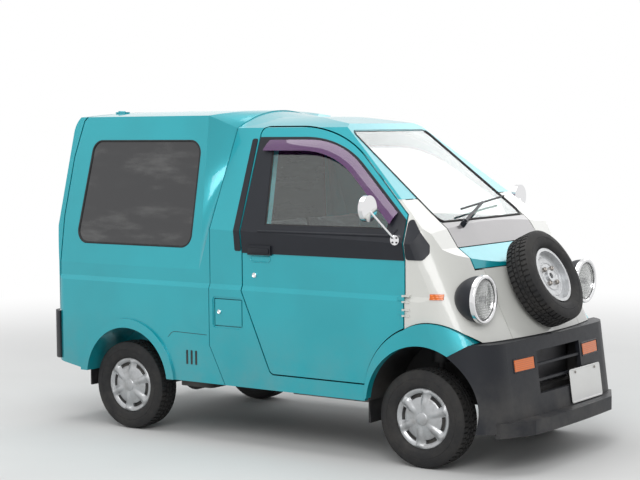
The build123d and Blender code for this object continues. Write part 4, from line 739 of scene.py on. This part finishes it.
class VAN_OT_tyres(bpy.types.Operator):
    """Build the four road tyres and the spare with tread and sidewall rings"""

    bl_idname = "van.tyres"
    bl_label = "Tyres"

    def execute(self, context):
        sizes = context.scene.van_tyres
        steps = sizes.pitches * STEPS_PER_PITCH
        for axle, x in AXLE_X.items():
            for side, sign in SIDES:
                place = Matrix.Translation((x, sign * HALF_TRACK, AXLE_Z))
                at = f"{axle}_{side}"
                self.tyre(f"road_tyre_{at}", place, 1.0, steps, sizes, f"wheel_{at}", f"tyre_{at}")
        lean = Matrix.Rotation(-math.atan(SPARE_SLOPE), 4, "Y") @ Matrix.Rotation(math.radians(90), 4, "Z")
        place = Matrix.Translation(SPARE_CENTRE) @ lean
        self.tyre("road_tyre_spare", place, SPARE_NARROWED, steps, sizes, "body", "spare_tyre")
        return {"FINISHED"}

    def tyre(self, name, place, width, steps, sizes, body, node):
        half = [(y * width, r) for y, r in TYRE_TREAD + TYRE_SIDE]
        obj = spun(name, [(-y, r) for y, r in reversed(half)] + half[1:], ALONG_Y, steps)
        edit(obj, "FACE")
        turn = 2 * math.pi / steps

        def step_of(face):
            middle = face.calc_center_median()
            return int((math.atan2(middle.x, middle.z) % (2 * math.pi)) / turn)

        def in_groove(face, low, high, step):
            middle = face.calc_center_median()
            if math.hypot(middle.x, middle.z) <= TREAD_START or not low < abs(middle.y) / width < high:
                return False
            return step is None or step_of(face) % STEPS_PER_PITCH == step

        for low, high, step, share in GROOVES:
            pick(obj, "FACE", lambda face: in_groove(face, low, high, step))
            inset((0.0, -sizes.groove * share))
        deselect()
        obj.data.transform(place)
        closed_out(obj)
        finished(obj, "tyre", body, 28)
        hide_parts(node)


# Edges sharper than this, in radians, are the rim of a pane; a felt is thinner than a seal
RIM_ANGLE = 0.8
FELT_SHARE = 0.8


class VAN_OT_seals(bpy.types.Operator):
    """Lay rubber seals round the fixed windows and felts round the door windows"""

    bl_idname = "van.seals"
    bl_label = "Window Seals"

    def execute(self, context):
        radius = context.scene.van_trim.seal
        for node, out, body, name in (
            ("windscreen", Vector((1, 0, 1)), "body", "screen_seal"),
            ("tailgate_glass", Vector((-1, 0, 0)), "tailgate", "gate_seal"),
        ):
            self.seal(name, node, lambda f: f.normal.dot(out) > 0.3, radius, body)
        for side, sign in SIDES:

            def outer(face):
                return face.normal.y * sign > 0.5 and face.calc_center_median().y * sign > 0

            felt = radius * FELT_SHARE
            self.seal(f"door_window_felt_{side}", f"door_glass_{side}", outer, felt, f"door_{side}")
            self.seal(f"box_window_seal_{side}", "box_glass", outer, radius, "body")
        return {"FINISHED"}

    def seal(self, name, node, outer, radius, body):
        obj = copy_of_node(node, name)
        edit(obj, "EDGE")

        def rim(edge):
            faces = edge.link_faces
            return len(faces) == 2 and edge.calc_face_angle() > RIM_ANGLE and any(outer(f) for f in faces)

        if not pick(obj, "EDGE", rim):
            raise RuntimeError(f"{node} has no outer rim")
        bpy.ops.mesh.select_all(action="INVERT")
        bpy.ops.mesh.delete(type="EDGE")
        select_mesh()
        bpy.ops.mesh.delete_loose(use_verts=True, use_edges=False, use_faces=False)
        deselect()
        made = tubed(obj, radius)
        finished(made, "rubber", body, 60)


# Wheel cover's section: out from the wheel's middle plane, from the axle; then the rim and the disc behind
COVER_FACE = (
    (0.0640, 0.0001), (0.0640, 0.0270), (0.0625, 0.0300), (0.0605, 0.0315), (0.0600, 0.0360),
    (0.0598, 0.0440), (0.0590, 0.0520), (0.0575, 0.0600), (0.0555, 0.0690), (0.0535, 0.0780),
    (0.0510, 0.0870), (0.0485, 0.0950), (0.0465, 0.1010), (0.0450, 0.1080), (0.0445, 0.1150),
    (0.0450, 0.1210), (0.0485, 0.1260), (0.0520, 0.1310),
    (0.0535, 0.1360), (0.0530, 0.1410), (0.0500, 0.1440), (0.0470, 0.1435),
)
RIM_BACK = (
    (0.0460, 0.1300), (-0.0440, 0.1285), (-0.0460, 0.1400), (-0.0500, 0.1430), (-0.0520, 0.1400),
    (-0.0490, 0.1230), (0.0180, 0.1210), (0.0200, 0.0600), (0.0140, 0.0320), (-0.0120, 0.0300),
    (-0.0120, 0.0130),
)
# Slots between the spokes: from and to, from the axle; how far out; degrees off a spoke; thickness and depth
SLOT_RING = (0.1, 0.1215)
SLOT_OUT = 0.043
SLOT_OFF_SPOKE = 12.5
SLOT_STEPS = ((0.0012, -0.001), (0.0, -0.012))
# Spokes run from and to, from the axle, on what lies further out than FACE_OUT; their ends rise over lengths
FACE_OUT = 0.04
SPOKE_RUN = (0.04, 0.139)
SPOKE_ENDS = (0.034, 0.012)
# Half a spoke's angle in degrees at this distance from the axle, and what it loses per metre further out
SPOKE_HALF_ANGLE = 14.5
SPOKE_TAPER_FROM = 0.06
SPOKE_TAPER = 75
# How high a spoke stands: this, times a share that grows with the distance from the axle
SPOKE_RISE = 0.0125
SPOKE_SHARE = 0.35
SPOKE_SHARE_OVER = 0.2
SPOKES = 6
FIRST_SPOKE = 8
COVER_STEPS = 120


class VAN_OT_wheels(bpy.types.Operator):
    """Build the four wheels with six-spoke covers"""

    bl_idname = "van.wheels"
    bl_label = "Wheels"

    def execute(self, context):
        for axle, x in AXLE_X.items():
            for side, sign in SIDES:
                centre = Vector((x, sign * HALF_TRACK, AXLE_Z))
                self.wheel(f"covered_wheel_{axle}_{side}", centre, sign, axle, side)
        return {"FINISHED"}

    def wheel(self, name, centre, sign, axle, side):
        obj = spun(name, COVER_FACE + RIM_BACK, ALONG_Y, COVER_STEPS)
        sector = 2 * math.pi / SPOKES
        first = math.radians(FIRST_SPOKE)

        def off_spoke(place):
            """Angle from the nearest spoke, in degrees."""
            turn = (math.atan2(place.x, place.z) - first) % sector
            return math.degrees(min(turn, sector - turn))

        def in_slot(face):
            middle = face.calc_center_median()
            radius = math.hypot(middle.x, middle.z)
            ring = SLOT_RING[0] < radius < SLOT_RING[1]
            return middle.y > SLOT_OUT and ring and off_spoke(middle) > SLOT_OFF_SPOKE

        edit(obj, "FACE")
        pick(obj, "FACE", in_slot)
        inset(*SLOT_STEPS)
        obj.data.materials.append(FINISHES["silver"])
        obj.data.materials.append(FINISHES["steel"])
        obj.active_material_index = 1
        bpy.ops.object.material_slot_assign()
        deselect()
        for vertex in obj.data.vertices:
            place = vertex.co
            radius = math.hypot(place.x, place.z)
            if place.y < FACE_OUT or not SPOKE_RUN[0] < radius < SPOKE_RUN[1]:
                continue
            half = SPOKE_HALF_ANGLE - SPOKE_TAPER * (radius - SPOKE_TAPER_FROM)
            near = max(0.0, 1 - (off_spoke(place) / half) ** 2)
            risen = min(1.0, max(0.0, (radius - SPOKE_RUN[0]) / SPOKE_ENDS[0]))
            grown = risen * min(1.0, (SPOKE_RUN[1] - radius) / SPOKE_ENDS[1])
            place.y += SPOKE_RISE * grown * near * (SPOKE_SHARE + radius / SPOKE_SHARE_OVER)
        obj.data.transform(Matrix.Translation(centre) @ Matrix.Scale(sign, 4, (0, 1, 0)))
        closed_out(obj)
        settle(obj)
        bpy.ops.object.shade_smooth_by_angle(angle=math.radians(34))
        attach(obj, f"wheel_{axle}_{side}")
        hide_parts(f"wheel_{axle}_{side}")


# Outer edge of the rain visor over a door's window, how its corners turn, and how its width runs in strips
VISOR_EDGE = ((-0.085, 1.536), (0.335, 1.536), (0.778, 1.193))
VISOR_TURN = 0.2
VISOR_TURN_STEPS = 14
VISOR_WAY = Vector((-0.34, 0, -1))
VISOR_STRIPS = 4
# Its height over the trim at the edge, what it rises by over a share of its width, and its wall
VISOR_FOOT = 0.0045
VISOR_RISE = 0.0105
VISOR_RISE_OVER = 0.8
VISOR_WALL = 0.0025


class VAN_OT_visors(bpy.types.Operator):
    """Hang the smoked rain visors over the door windows"""

    bl_idname = "van.visors"
    bl_label = "Rain Visors"

    def execute(self, context):
        width = context.scene.van_trim.visor_width
        strip = VISOR_WAY * width / VISOR_STRIPS
        for side, sign in SIDES:
            edge = rounded(VISOR_EDGE, VISOR_TURN, steps=VISOR_TURN_STEPS)
            seats = [on_side([f"door_trim_{side}"], x, z, sign) for x, z in edge]
            obj = trace(f"visor_{side}", [place for place, _ in seats])
            select_mesh()
            for _ in range(VISOR_STRIPS):
                bpy.ops.mesh.extrude_region_move(TRANSFORM_OT_translate={"value": strip})
            settle(obj)
            for vertex in obj.data.vertices:
                x, z = vertex.co.x, vertex.co.z
                place, normal = min(seats, key=lambda seat: (seat[0].x - x) ** 2 + (seat[0].z - z) ** 2)
                away = math.hypot(place.x - x, place.z - z) / width
                flat = place.y - (normal.x * (x - place.x) + normal.z * (z - place.z)) / normal.y
                grown = math.sin(min(1.0, away / VISOR_RISE_OVER) * math.pi / 2)
                vertex.co = Vector((x, flat, z)) + normal * (VISOR_FOOT + VISOR_RISE * grown)
            closed_out(obj)
            thickened(obj, VISOR_WALL, 0.0)
            finished(obj, "visor", f"door_{side}", 40)
        return {"FINISHED"}


# Fittings of a door, as x and z: lines, how their corners turn, and their half thicknesses
SILL_RIDGE = ((-0.002, 1.088), (0.775, 1.088), (0.800, 1.120))
RIDGE_TURN = 0.02
RIDGE_RADIUS = 0.0065
HANDLE_SCOOP = ((-0.052, 0.962), (0.076, 0.962), (0.070, 0.936), (-0.046, 0.936))
HANDLE_FLAP = ((-0.052, 0.977), (0.076, 0.977), (0.076, 1.006), (-0.052, 1.006))
HANDLE_TURN = 0.012
SCOOP_RADIUS = 0.0035
FLAP_WALL = 0.005
# Locks: middle and radius
DOOR_LOCK = (-0.025, 0.868)
DOOR_LOCK_RADIUS = 0.0125
LID_LOCK = (-0.248, 0.672)
LID_LOCK_RADIUS = 0.011
# Foot of the mirror's arm and the circle of its screws, which are smaller than other trim screws
MIRROR_FOOT = (0.812, 1.072)
MIRROR_CIRCLE = 0.0155
MIRROR_SCREW_SHARE = 0.75


class VAN_OT_doors(bpy.types.Operator):
    """Dress the doors: sill ridge, handle scoop and flap, locks and mirror screws"""

    bl_idname = "van.doors"
    bl_label = "Door Fittings"

    def execute(self, context):
        screw = context.scene.van_trim.screw * MIRROR_SCREW_SHARE
        for side, sign in SIDES:
            body = f"door_{side}"
            trim = [f"door_trim_{side}"]
            line = along_side(trim, rounded(SILL_RIDGE, RIDGE_TURN), sign, -0.001)
            ridge = tube(f"sill_ridge_{side}", line, RIDGE_RADIUS)
            finished(ridge, "plastic", body, 60)
            line = along_side([body], rounded(HANDLE_SCOOP, HANDLE_TURN, True), sign)
            scoop = tube(f"handle_scoop_{side}", line, SCOOP_RADIUS, closed=True)
            finished(scoop, "body", body, 60)
            line = along_side(trim, rounded(HANDLE_FLAP, HANDLE_TURN, True), sign, 0.0012)
            flap = patch(f"handle_flap_{side}", line, FLAP_WALL)
            bevelled(flap, 0.0015)
            finished(flap, "gloss", body, 40)
            seat = on_side([body], *DOOR_LOCK, sign, 0.002)
            lock = lock_barrel(f"door_lock_{side}", *seat, DOOR_LOCK_RADIUS)
            finished(lock, "bright", body, 30)
            heads = []
            for turn in range(4):
                angle = math.radians(45 + 90 * turn)
                x = MIRROR_FOOT[0] + MIRROR_CIRCLE * math.cos(angle)
                z = MIRROR_FOOT[1] + MIRROR_CIRCLE * math.sin(angle)
                seat = on_side([f"mirror_{side}"], x, z, sign, 0.001)
                heads.append(screw_head("mirror_screw", *seat, screw))
            screws = finished(joined(f"mirror_screws_{side}", heads), "steel", body, 30)
        seat = on_side(["fuel_lid"], *LID_LOCK, -1, 0.002)
        lock = lock_barrel("lid_lock", *seat, LID_LOCK_RADIUS)
        finished(lock, "bright", "fuel_lid", 30)
        return {"FINISHED"}


# Louvres low on the box: middles, foot and top, half a slot's width, its wall; the hood behind each slot.
# Each slot is a black plate on the flank: painted shade of the louvre's opening
LOUVRE_X = (-0.462, -0.432, -0.402)
LOUVRE_Z = (0.388, 0.462)
LOUVRE_HALF = 0.006
LOUVRE_TURN = 0.005
LOUVRE_WALL = 0.0022
HOOD_BEHIND = 0.010
HOOD_SHORTER = 0.002
HOOD_RADIUS = 0.0042
# Seam line over the louvres, ahead of the rear arch, as x and z
SILL_SEAM = ((-0.592, 0.520), (-0.560, 0.552), (-0.330, 0.548))
SEAM_TURN = 0.02
SEAM_RADIUS = 0.0016


class VAN_OT_flanks(bpy.types.Operator):
    """Lay the louvres, their slots as black plates of painted shade, and the seam lines on the flanks of the
    box
    """

    bl_idname = "van.flanks"
    bl_label = "Flank Louvres and Seams"

    def execute(self, context):
        low, high = LOUVRE_Z
        box = ["cargo_box"]
        for side, sign in SIDES:
            slots, hoods = [], []
            for x in LOUVRE_X:
                rear, front = x - LOUVRE_HALF, x + LOUVRE_HALF
                outline = rounded(((rear, low), (front, low), (front, high), (rear, high)), LOUVRE_TURN, True)
                # Black plate over the slot: painted shade of the louvre's opening
                slots.append(patch("slot_shade_plate", along_side(box, outline, sign), LOUVRE_WALL))
                ends = [(x - HOOD_BEHIND, low + HOOD_SHORTER), (x - HOOD_BEHIND, high - HOOD_SHORTER)]
                hoods.append(tube("louvre_hood", along_side(box, ends, sign, -0.0005), HOOD_RADIUS))
            dark = finished(joined(f"slot_shade_plates_{side}", slots), "steel", "body", 30)
            hood = finished(joined(f"louvre_hoods_{side}", hoods), "body", "body", 60)
            seam = along_side(box, rounded(SILL_SEAM, SEAM_TURN), sign, -0.0007)
            line = tube(f"sill_seam_{side}", seam, SEAM_RADIUS)
            finished(line, "rubber", "body", 60)
        return {"FINISHED"}


# Duct walls between grille and cooler, which close the gap through the nose; their near-black is painted
# shade of the grille's inside: rear and front ends, half width, floor and roof, wall
DUCT_X = (1.250, 1.310)
DUCT_Y = 0.262
DUCT_Z = (0.296, 0.572)
DUCT_WALL = 0.003
# Frame in the bumper round an indicator: outline as across and up, how its corners turn, half thickness
LAMP_FRAME = ((0.246, 0.460), (0.434, 0.460), (0.434, 0.524), (0.246, 0.524))
FRAME_TURN = 0.006
FRAME_RADIUS = 0.0028


class VAN_OT_bumper(bpy.types.Operator):
    """Close the gap behind the grille with near-black walls of painted shade, and frame the indicators"""

    bl_idname = "van.bumper"
    bl_label = "Bumper Fittings"

    def execute(self, context):
        (rear, front), (low, high) = DUCT_X, DUCT_Z
        walls = []
        for y in (-DUCT_Y, DUCT_Y):
            wall = [(rear, y, low), (front, y, low), (front, y, high), (rear, y, high)]
            walls.append(patch("duct_wall", wall, DUCT_WALL))
        roof = [(rear, -DUCT_Y, high), (front, -DUCT_Y, high), (front, DUCT_Y, high), (rear, DUCT_Y, high)]
        walls.append(patch("duct_roof", roof, DUCT_WALL))
        # The walls close the gap behind the grille; their black is painted shade of the grille's inside
        duct = finished(joined("grille_shade_duct", walls), "steel", "body", 30)
        for side, sign in SIDES:
            points = []
            for across, up in rounded(LAMP_FRAME, FRAME_TURN, True):
                start = (OUTSIDE, sign * across, up)
                place, normal = surface(["front_bumper", "indicators"], start, (-1, 0, 0))
                points.append(place + normal * 0.0002)
            frame_line = tube(f"indicator_frame_{side}", points, FRAME_RADIUS, closed=True)
            finished(frame_line, "gloss", "body", 60)
        return {"FINISHED"}


# Head lamp sections: ahead of the pod's mouth, and out from the lamp's middle
LAMP_BOWL = (
    (0.0008, 0.0001), (0.0008, 0.020), (0.0012, 0.040), (0.0025, 0.060), (0.0050, 0.076), (0.0085, 0.088),
    (0.0095, 0.0925),
)
LAMP_DOME = (
    (0.0195, 0.0001), (0.0193, 0.010), (0.0189, 0.020), (0.0182, 0.030), (0.0172, 0.040), (0.0160, 0.050),
    (0.0146, 0.060), (0.0129, 0.070), (0.0110, 0.080), (0.0098, 0.0865), (0.0096, 0.0925), (0.0075, 0.0925),
    (0.0078, 0.0860), (0.0092, 0.0780), (0.0115, 0.0660), (0.0136, 0.0520), (0.0152, 0.0380),
    (0.0163, 0.0220), (0.0170, 0.0001),
)
BULB_CAP = (
    (0.0010, 0.016), (0.0110, 0.015), (0.0128, 0.0135), (0.0135, 0.010), (0.0138, 0.0001),
)
# Flutes of the glass: how far out from the middle and ahead of the mouth, pitch, depth, where they fade to
FLUTES_OUT = 0.086
FLUTES_AHEAD = 0.006
FLUTE_PITCH = 0.013
FLUTE_DEPTH = 0.0006
FLUTES_FADE = 0.09


class VAN_OT_lamps(bpy.types.Operator):
    """Build the head lamps' reflectors, bulb caps and fluted glass"""

    bl_idname = "van.lamps"
    bl_label = "Head Lamps"

    def execute(self, context):
        for side, sign in SIDES:
            place = Matrix.Translation((LAMP_CENTRE.x, -sign * LAMP_CENTRE.y, LAMP_CENTRE.z))
            bowl = spun(f"reflector_{side}", LAMP_BOWL, ALONG_X, 64)
            bowl.data.transform(place)
            finished(bowl, "mirror", "body", 40)
            glass = spun(f"lamp_glass_{side}", LAMP_DOME, ALONG_X, 96)
            for vertex in glass.data.vertices:
                radius = math.hypot(vertex.co.y, vertex.co.z)
                if radius < FLUTES_OUT and vertex.co.x > FLUTES_AHEAD:
                    flute = math.cos(vertex.co.y * 2 * math.pi / FLUTE_PITCH)
                    vertex.co.x += FLUTE_DEPTH * flute * (1 - radius / FLUTES_FADE)
            glass.data.transform(place)
            closed_out(glass)
            finished(glass, "lamp", "body", 60)
            if side == "right":
                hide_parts("headlight_lenses")
            cap = spun(f"bulb_cap_{side}", BULB_CAP, ALONG_X, 32)
            cap.data.transform(place)
            closed_out(cap)
            finished(cap, "rim", "body", 40)
        return {"FINISHED"}


# Spare wheel's face: radius and half thickness of the rings, points on a ring, share of it that is sunk
SPARE_RINGS = ((0.070, 0.0050), (0.098, 0.0040))
RING_POINTS = 36
RING_SUNK = 0.35
NUTS = 4
NUT_CIRCLE = 0.050
NUT_RADIUS = 0.0115
NUT_HEIGHT = 0.014
NUT_STEPS = ((0.002, 0.003), (0.002, -0.004))
NUT_LIFT = 0.005


class VAN_OT_spare(bpy.types.Operator):
    """Press the rings and put the nuts on the spare wheel's disc"""

    bl_idname = "van.spare"
    bl_label = "Spare Wheel"

    def execute(self, context):
        out = Vector((1, 0, SPARE_SLOPE)).normalized()
        up = Vector((-SPARE_SLOPE, 0, 1)).normalized()
        across = Vector(ALONG_Y)

        def on_disc(radius, degrees, lift):
            angle = math.radians(degrees)
            start = SPARE_CENTRE + (up * math.cos(angle) + across * math.sin(angle)) * radius + out * 0.3
            return surface(["spare_rim"], start, -out)[0] + out * lift

        rings = []
        for radius, thick in SPARE_RINGS:
            steps = range(RING_POINTS)
            points = [on_disc(radius, 360 / RING_POINTS * step, -thick * RING_SUNK) for step in steps]
            rings.append(tube("disc_ring", points, thick, closed=True))
        ring = finished(joined("disc_rings", rings), "rim", "body", 60)
        nuts = []
        for turn in range(NUTS):
            place = on_disc(NUT_CIRCLE, 45 + 360 / NUTS * turn, NUT_LIFT)
            nuts.append(stand(disc("spare_nut", 6, NUT_RADIUS, NUT_HEIGHT, *NUT_STEPS), place, out))
        nuts = finished(joined("spare_nuts", nuts), "pipe", "body", 20)
        return {"FINISHED"}


# Pads of the seats: their mesh's step, what they lose before and gain by swelling, pressure and its frames
PAD_VOXEL = 0.011
PAD_SHRINK = 0.012
PAD_SWELL = 0.024
PAD_PRESSURE = 4.0
PAD_FRAMES = 20
# Sewn channels of a seat: cushion's middle lines run across at these x, the back's at these z
CUSHION_CHANNELS = (0.02, 0.16, 0.30)
BACK_CHANNELS = (0.82, 0.95, 1.06)
CHANNEL_DEPTH = 0.007
CHANNEL_WIDTH = 0.009
# A seat's middle and the half width of its sewn field; the back starts at this height
SEAT_MIDDLE = 0.245
SEWN_HALF = 0.165
BACK_FROM = 0.69


class VAN_OT_seats(bpy.types.Operator):
    """Pad the two seats by cloth simulation and sew their channels"""

    bl_idname = "van.seats"
    bl_label = "Seats"

    def execute(self, context):
        pads = copy_of_node("seats", "seat_pads")
        modified(pads, "REMESH", mode="VOXEL", voxel_size=PAD_VOXEL)
        pads.data.update()
        for vertex, normal in [(v, v.normal.copy()) for v in pads.data.vertices]:
            vertex.co -= normal * PAD_SHRINK
        self.swell(context, pads)
        for vertex in pads.data.vertices:
            vertex.co -= vertex.normal * self.channel(vertex.co)
        modified(pads, "SUBSURF", levels=1, render_levels=1)
        finished(pads, "cloth", "body", 180)
        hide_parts("seats")
        return {"FINISHED"}

    def swell(self, context, pads):
        """Lets the pads swell under pressure, no point further than PAD_SWELL."""
        start = [vertex.co.copy() for vertex in pads.data.vertices]
        cloth = pads.modifiers.new("cloth", "CLOTH")
        cloth.settings.use_pressure = True
        cloth.settings.uniform_pressure_force = PAD_PRESSURE
        cloth.settings.effector_weights.gravity = 0.0
        cloth.point_cache.frame_start = 1
        cloth.point_cache.frame_end = PAD_FRAMES
        for number in range(1, PAD_FRAMES + 1):
            context.scene.frame_set(number)
        hold(pads)
        bpy.ops.object.modifier_apply(modifier=cloth.name)
        context.scene.frame_set(1)
        for vertex, place in zip(pads.data.vertices, start):
            step = vertex.co - place
            if step.length > PAD_SWELL:
                vertex.co = place + step.normalized() * PAD_SWELL
        pads.data.update()

    def channel(self, place):
        """Depth of the sewing at a point."""
        inward = abs(abs(place.y) - SEAT_MIDDLE)
        near = inward - SEWN_HALF
        if inward < SEWN_HALF:
            back = place.z >= BACK_FROM
            along = place.z if back else place.x
            lines = BACK_CHANNELS if back else CUSHION_CHANNELS
            near = min(abs(near), *(abs(along - line) for line in lines))
        return CHANNEL_DEPTH * math.exp(-((near / CHANNEL_WIDTH) ** 2))


# Number plate: where the bumper is felt for, middle across and up, lean, gap; corners, rim, walls
PLATE_SEAT = (OUTSIDE, 0.30, 0.300)
PLATE_MIDDLE = (0.23, 0.333)
PLATE_LEAN = 0.13
PLATE_GAP = 0.011
PLATE_TURN = 0.012
PLATE_RIM = ((0.006, 0.0), (0.003, -0.0015))
PLATE_WALL = 0.0016
PLATE_BEVEL = 0.0004
# Its screws: from the middle, from the upper edge, in front of the plate's middle plane
PLATE_SCREW_Y = 0.105
PLATE_SCREW_DOWN = 0.018
PLATE_SCREW_OUT = 0.0018


class VAN_OT_plate(bpy.types.Operator):
    """Put the blank number plate on the front bumper"""

    bl_idname = "van.plate"
    bl_label = "Number Plate"

    def execute(self, context):
        sizes = context.scene.van_trim
        x = surface(["front_bumper"], PLATE_SEAT, (-1, 0, 0))[0].x + PLATE_GAP
        y, z = PLATE_MIDDLE
        deselect()
        bpy.ops.mesh.primitive_plane_add(size=1.0)
        plate = started("number_plate")
        plate.scale = (sizes.plate_width, sizes.plate_height, 1)
        settle(plate)
        edit(plate)
        select_mesh()
        bpy.ops.mesh.bevel(offset=PLATE_TURN, segments=4, affect="VERTICES")
        bpy.ops.mesh.select_mode(type="FACE")
        select_mesh()
        inset(*PLATE_RIM)
        deselect()
        thickened(plate, PLATE_WALL)
        bevelled(plate, PLATE_BEVEL, 1)
        upright = Matrix.Rotation(math.radians(90), 4, "Z") @ Matrix.Rotation(math.radians(90), 4, "X")
        tilt = Matrix.Rotation(-math.atan(PLATE_LEAN), 4, "Y")
        plate.matrix_world = Matrix.Translation((x, y, z)) @ tilt @ upright
        finished(plate, "plate", "body", 12)
        heads = []
        for across in (-PLATE_SCREW_Y, PLATE_SCREW_Y):
            up = sizes.plate_height / 2 - PLATE_SCREW_DOWN
            middle = Vector((x + PLATE_SCREW_OUT - PLATE_LEAN * up, y + across, z + up))
            heads.append(screw_head("plate_screw", middle, (1, 0, PLATE_LEAN), sizes.screw))
        screws = finished(joined("plate_screws", heads), "pipe", "body", 30)
        return {"FINISHED"}


# Lamps: name, place, what it is turned to, size, share of the key lamp's power
LAMPS = (
    ("key_lamp", (4.2, -6.4, 5.4), (0, 0, 0.7), (5.0, 4.0), 1.0),
    ("side_lamp", (-5.6, -3.8, 3.4), (-0.4, 0, 0.8), (3.5, 3.0), 0.3),
    ("far_lamp", (1.2, 6.8, 4.6), (0.4, 0, 1.0), (7.0, 4.0), 0.36),
    ("top_lamp", (-0.6, 0.0, 6.5), (-0.2, 0, 0), (6.0, 5.0), 0.7),
)
# Sky as a light and as it is seen: colour, strength
SKIES = (((0.95, 0.97, 1, 1), 0.5), ((1, 1, 1, 1), 1.0))
FLOOR_SIZE = 60.0


class VAN_OT_stage(bpy.types.Operator):
    """Make the floor, lamps, sky and camera"""

    bl_idname = "van.stage"
    bl_label = "Studio Stage"

    def execute(self, context):
        stage = context.scene.van_stage
        deselect()
        bpy.ops.mesh.primitive_plane_add(size=FLOOR_SIZE)
        floor = started("studio_floor")
        floor.data.materials.append(ground(stage.floor))
        for name, place, target, size, share in LAMPS:
            self.lamp(name, place, target, size, stage.key * share)
        self.sky(context)
        heading, pitch, roll = stage.camera_turn
        level = math.cos(pitch)
        look = Vector((level * math.cos(heading), level * math.sin(heading), math.sin(pitch)))
        right = look.cross(Vector((0, 0, 1))).normalized()
        over = right.cross(look)
        turned_right = math.cos(roll) * right + math.sin(roll) * over
        turned_over = -math.sin(roll) * right + math.cos(roll) * over
        bpy.ops.object.camera_add()
        camera = bpy.context.object
        camera.name = "photo_camera"
        axes = Matrix((turned_right, turned_over, -look)).transposed().to_4x4()
        camera.matrix_world = Matrix.Translation(stage.camera_place) @ axes
        camera.data.lens = stage.lens
        camera.data.sensor_width = 36
        camera.data.clip_end = 200
        context.scene.camera = camera
        context.scene.view_settings.view_transform = "Standard"
        return {"FINISHED"}

    def lamp(self, name, place, target, size, power):
        bpy.ops.object.light_add(type="AREA", location=place)
        lamp = bpy.context.object
        lamp.name = name
        lamp.rotation_mode = "QUATERNION"
        lamp.rotation_quaternion = (Vector(target) - Vector(place)).to_track_quat("-Z", "Y")
        lamp.data.shape = "RECTANGLE"
        lamp.data.size, lamp.data.size_y = size
        lamp.data.energy = power
        lamp.visible_glossy = name != "side_lamp"

    def sky(self, context):
        """White to the camera, in reflections and through glass, dimmer as a light."""
        world = bpy.data.worlds.new("studio_sky")
        world.use_nodes = True
        context.scene.world = world
        nodes, links = world.node_tree.nodes, world.node_tree.links
        nodes.clear()
        path = nodes.new("ShaderNodeLightPath")
        seen = path.outputs["Is Camera Ray"]
        for ray in ("Is Glossy Ray", "Is Transmission Ray"):
            either = nodes.new("ShaderNodeMath")
            either.operation = "MAXIMUM"
            links.new(seen, either.inputs[0])
            links.new(path.outputs[ray], either.inputs[1])
            seen = either.outputs[0]
        blend = nodes.new("ShaderNodeMixShader")
        links.new(seen, blend.inputs[0])
        for slot, (colour, strength) in enumerate(SKIES, 1):
            shown = nodes.new("ShaderNodeBackground")
            shown.inputs["Color"].default_value = colour
            shown.inputs["Strength"].default_value = strength
            links.new(shown.outputs[0], blend.inputs[slot])
        links.new(blend.outputs[0], nodes.new("ShaderNodeOutputWorld").inputs[0])


OPERATORS = (
    VAN_OT_paint,
    VAN_OT_tyres,
    VAN_OT_wheels,
    VAN_OT_seals,
    VAN_OT_visors,
    VAN_OT_doors,
    VAN_OT_flanks,
    VAN_OT_bumper,
    VAN_OT_lamps,
    VAN_OT_spare,
    VAN_OT_seats,
    VAN_OT_plate,
    VAN_OT_stage,
)


class VAN_PT_panel(bpy.types.Panel):
    """Lists the settings and the pieces"""

    bl_label = "Very Small Van"
    bl_idname = "VAN_PT_panel"
    bl_space_type = "VIEW_3D"
    bl_region_type = "UI"
    bl_category = "Van"

    def draw(self, context):
        layout = self.layout
        for name, kind in SETTINGS.items():
            box = layout.box()
            for key in kind.__annotations__:
                box.prop(getattr(context.scene, name), key)
        for kind in OPERATORS:
            layout.operator(kind.bl_idname)


SETTINGS = {
    "van_paint": PaintSettings,
    "van_tyres": TyreSettings,
    "van_trim": TrimSettings,
    "van_stage": StageSettings,
}


def register():
    for kind in (*SETTINGS.values(), *OPERATORS, VAN_PT_panel):
        bpy.utils.register_class(kind)
    for name, kind in SETTINGS.items():
        setattr(bpy.types.Scene, name, bpy.props.PointerProperty(type=kind))


def unregister():
    for name in SETTINGS:
        delattr(bpy.types.Scene, name)
    for kind in reversed((*SETTINGS.values(), *OPERATORS, VAN_PT_panel)):
        bpy.utils.unregister_class(kind)


def main():
    register()
    for kind in OPERATORS:
        group, _, action = kind.bl_idname.partition(".")
        getattr(getattr(bpy.ops, group), action)()


if __name__ == "__main__":
    main()
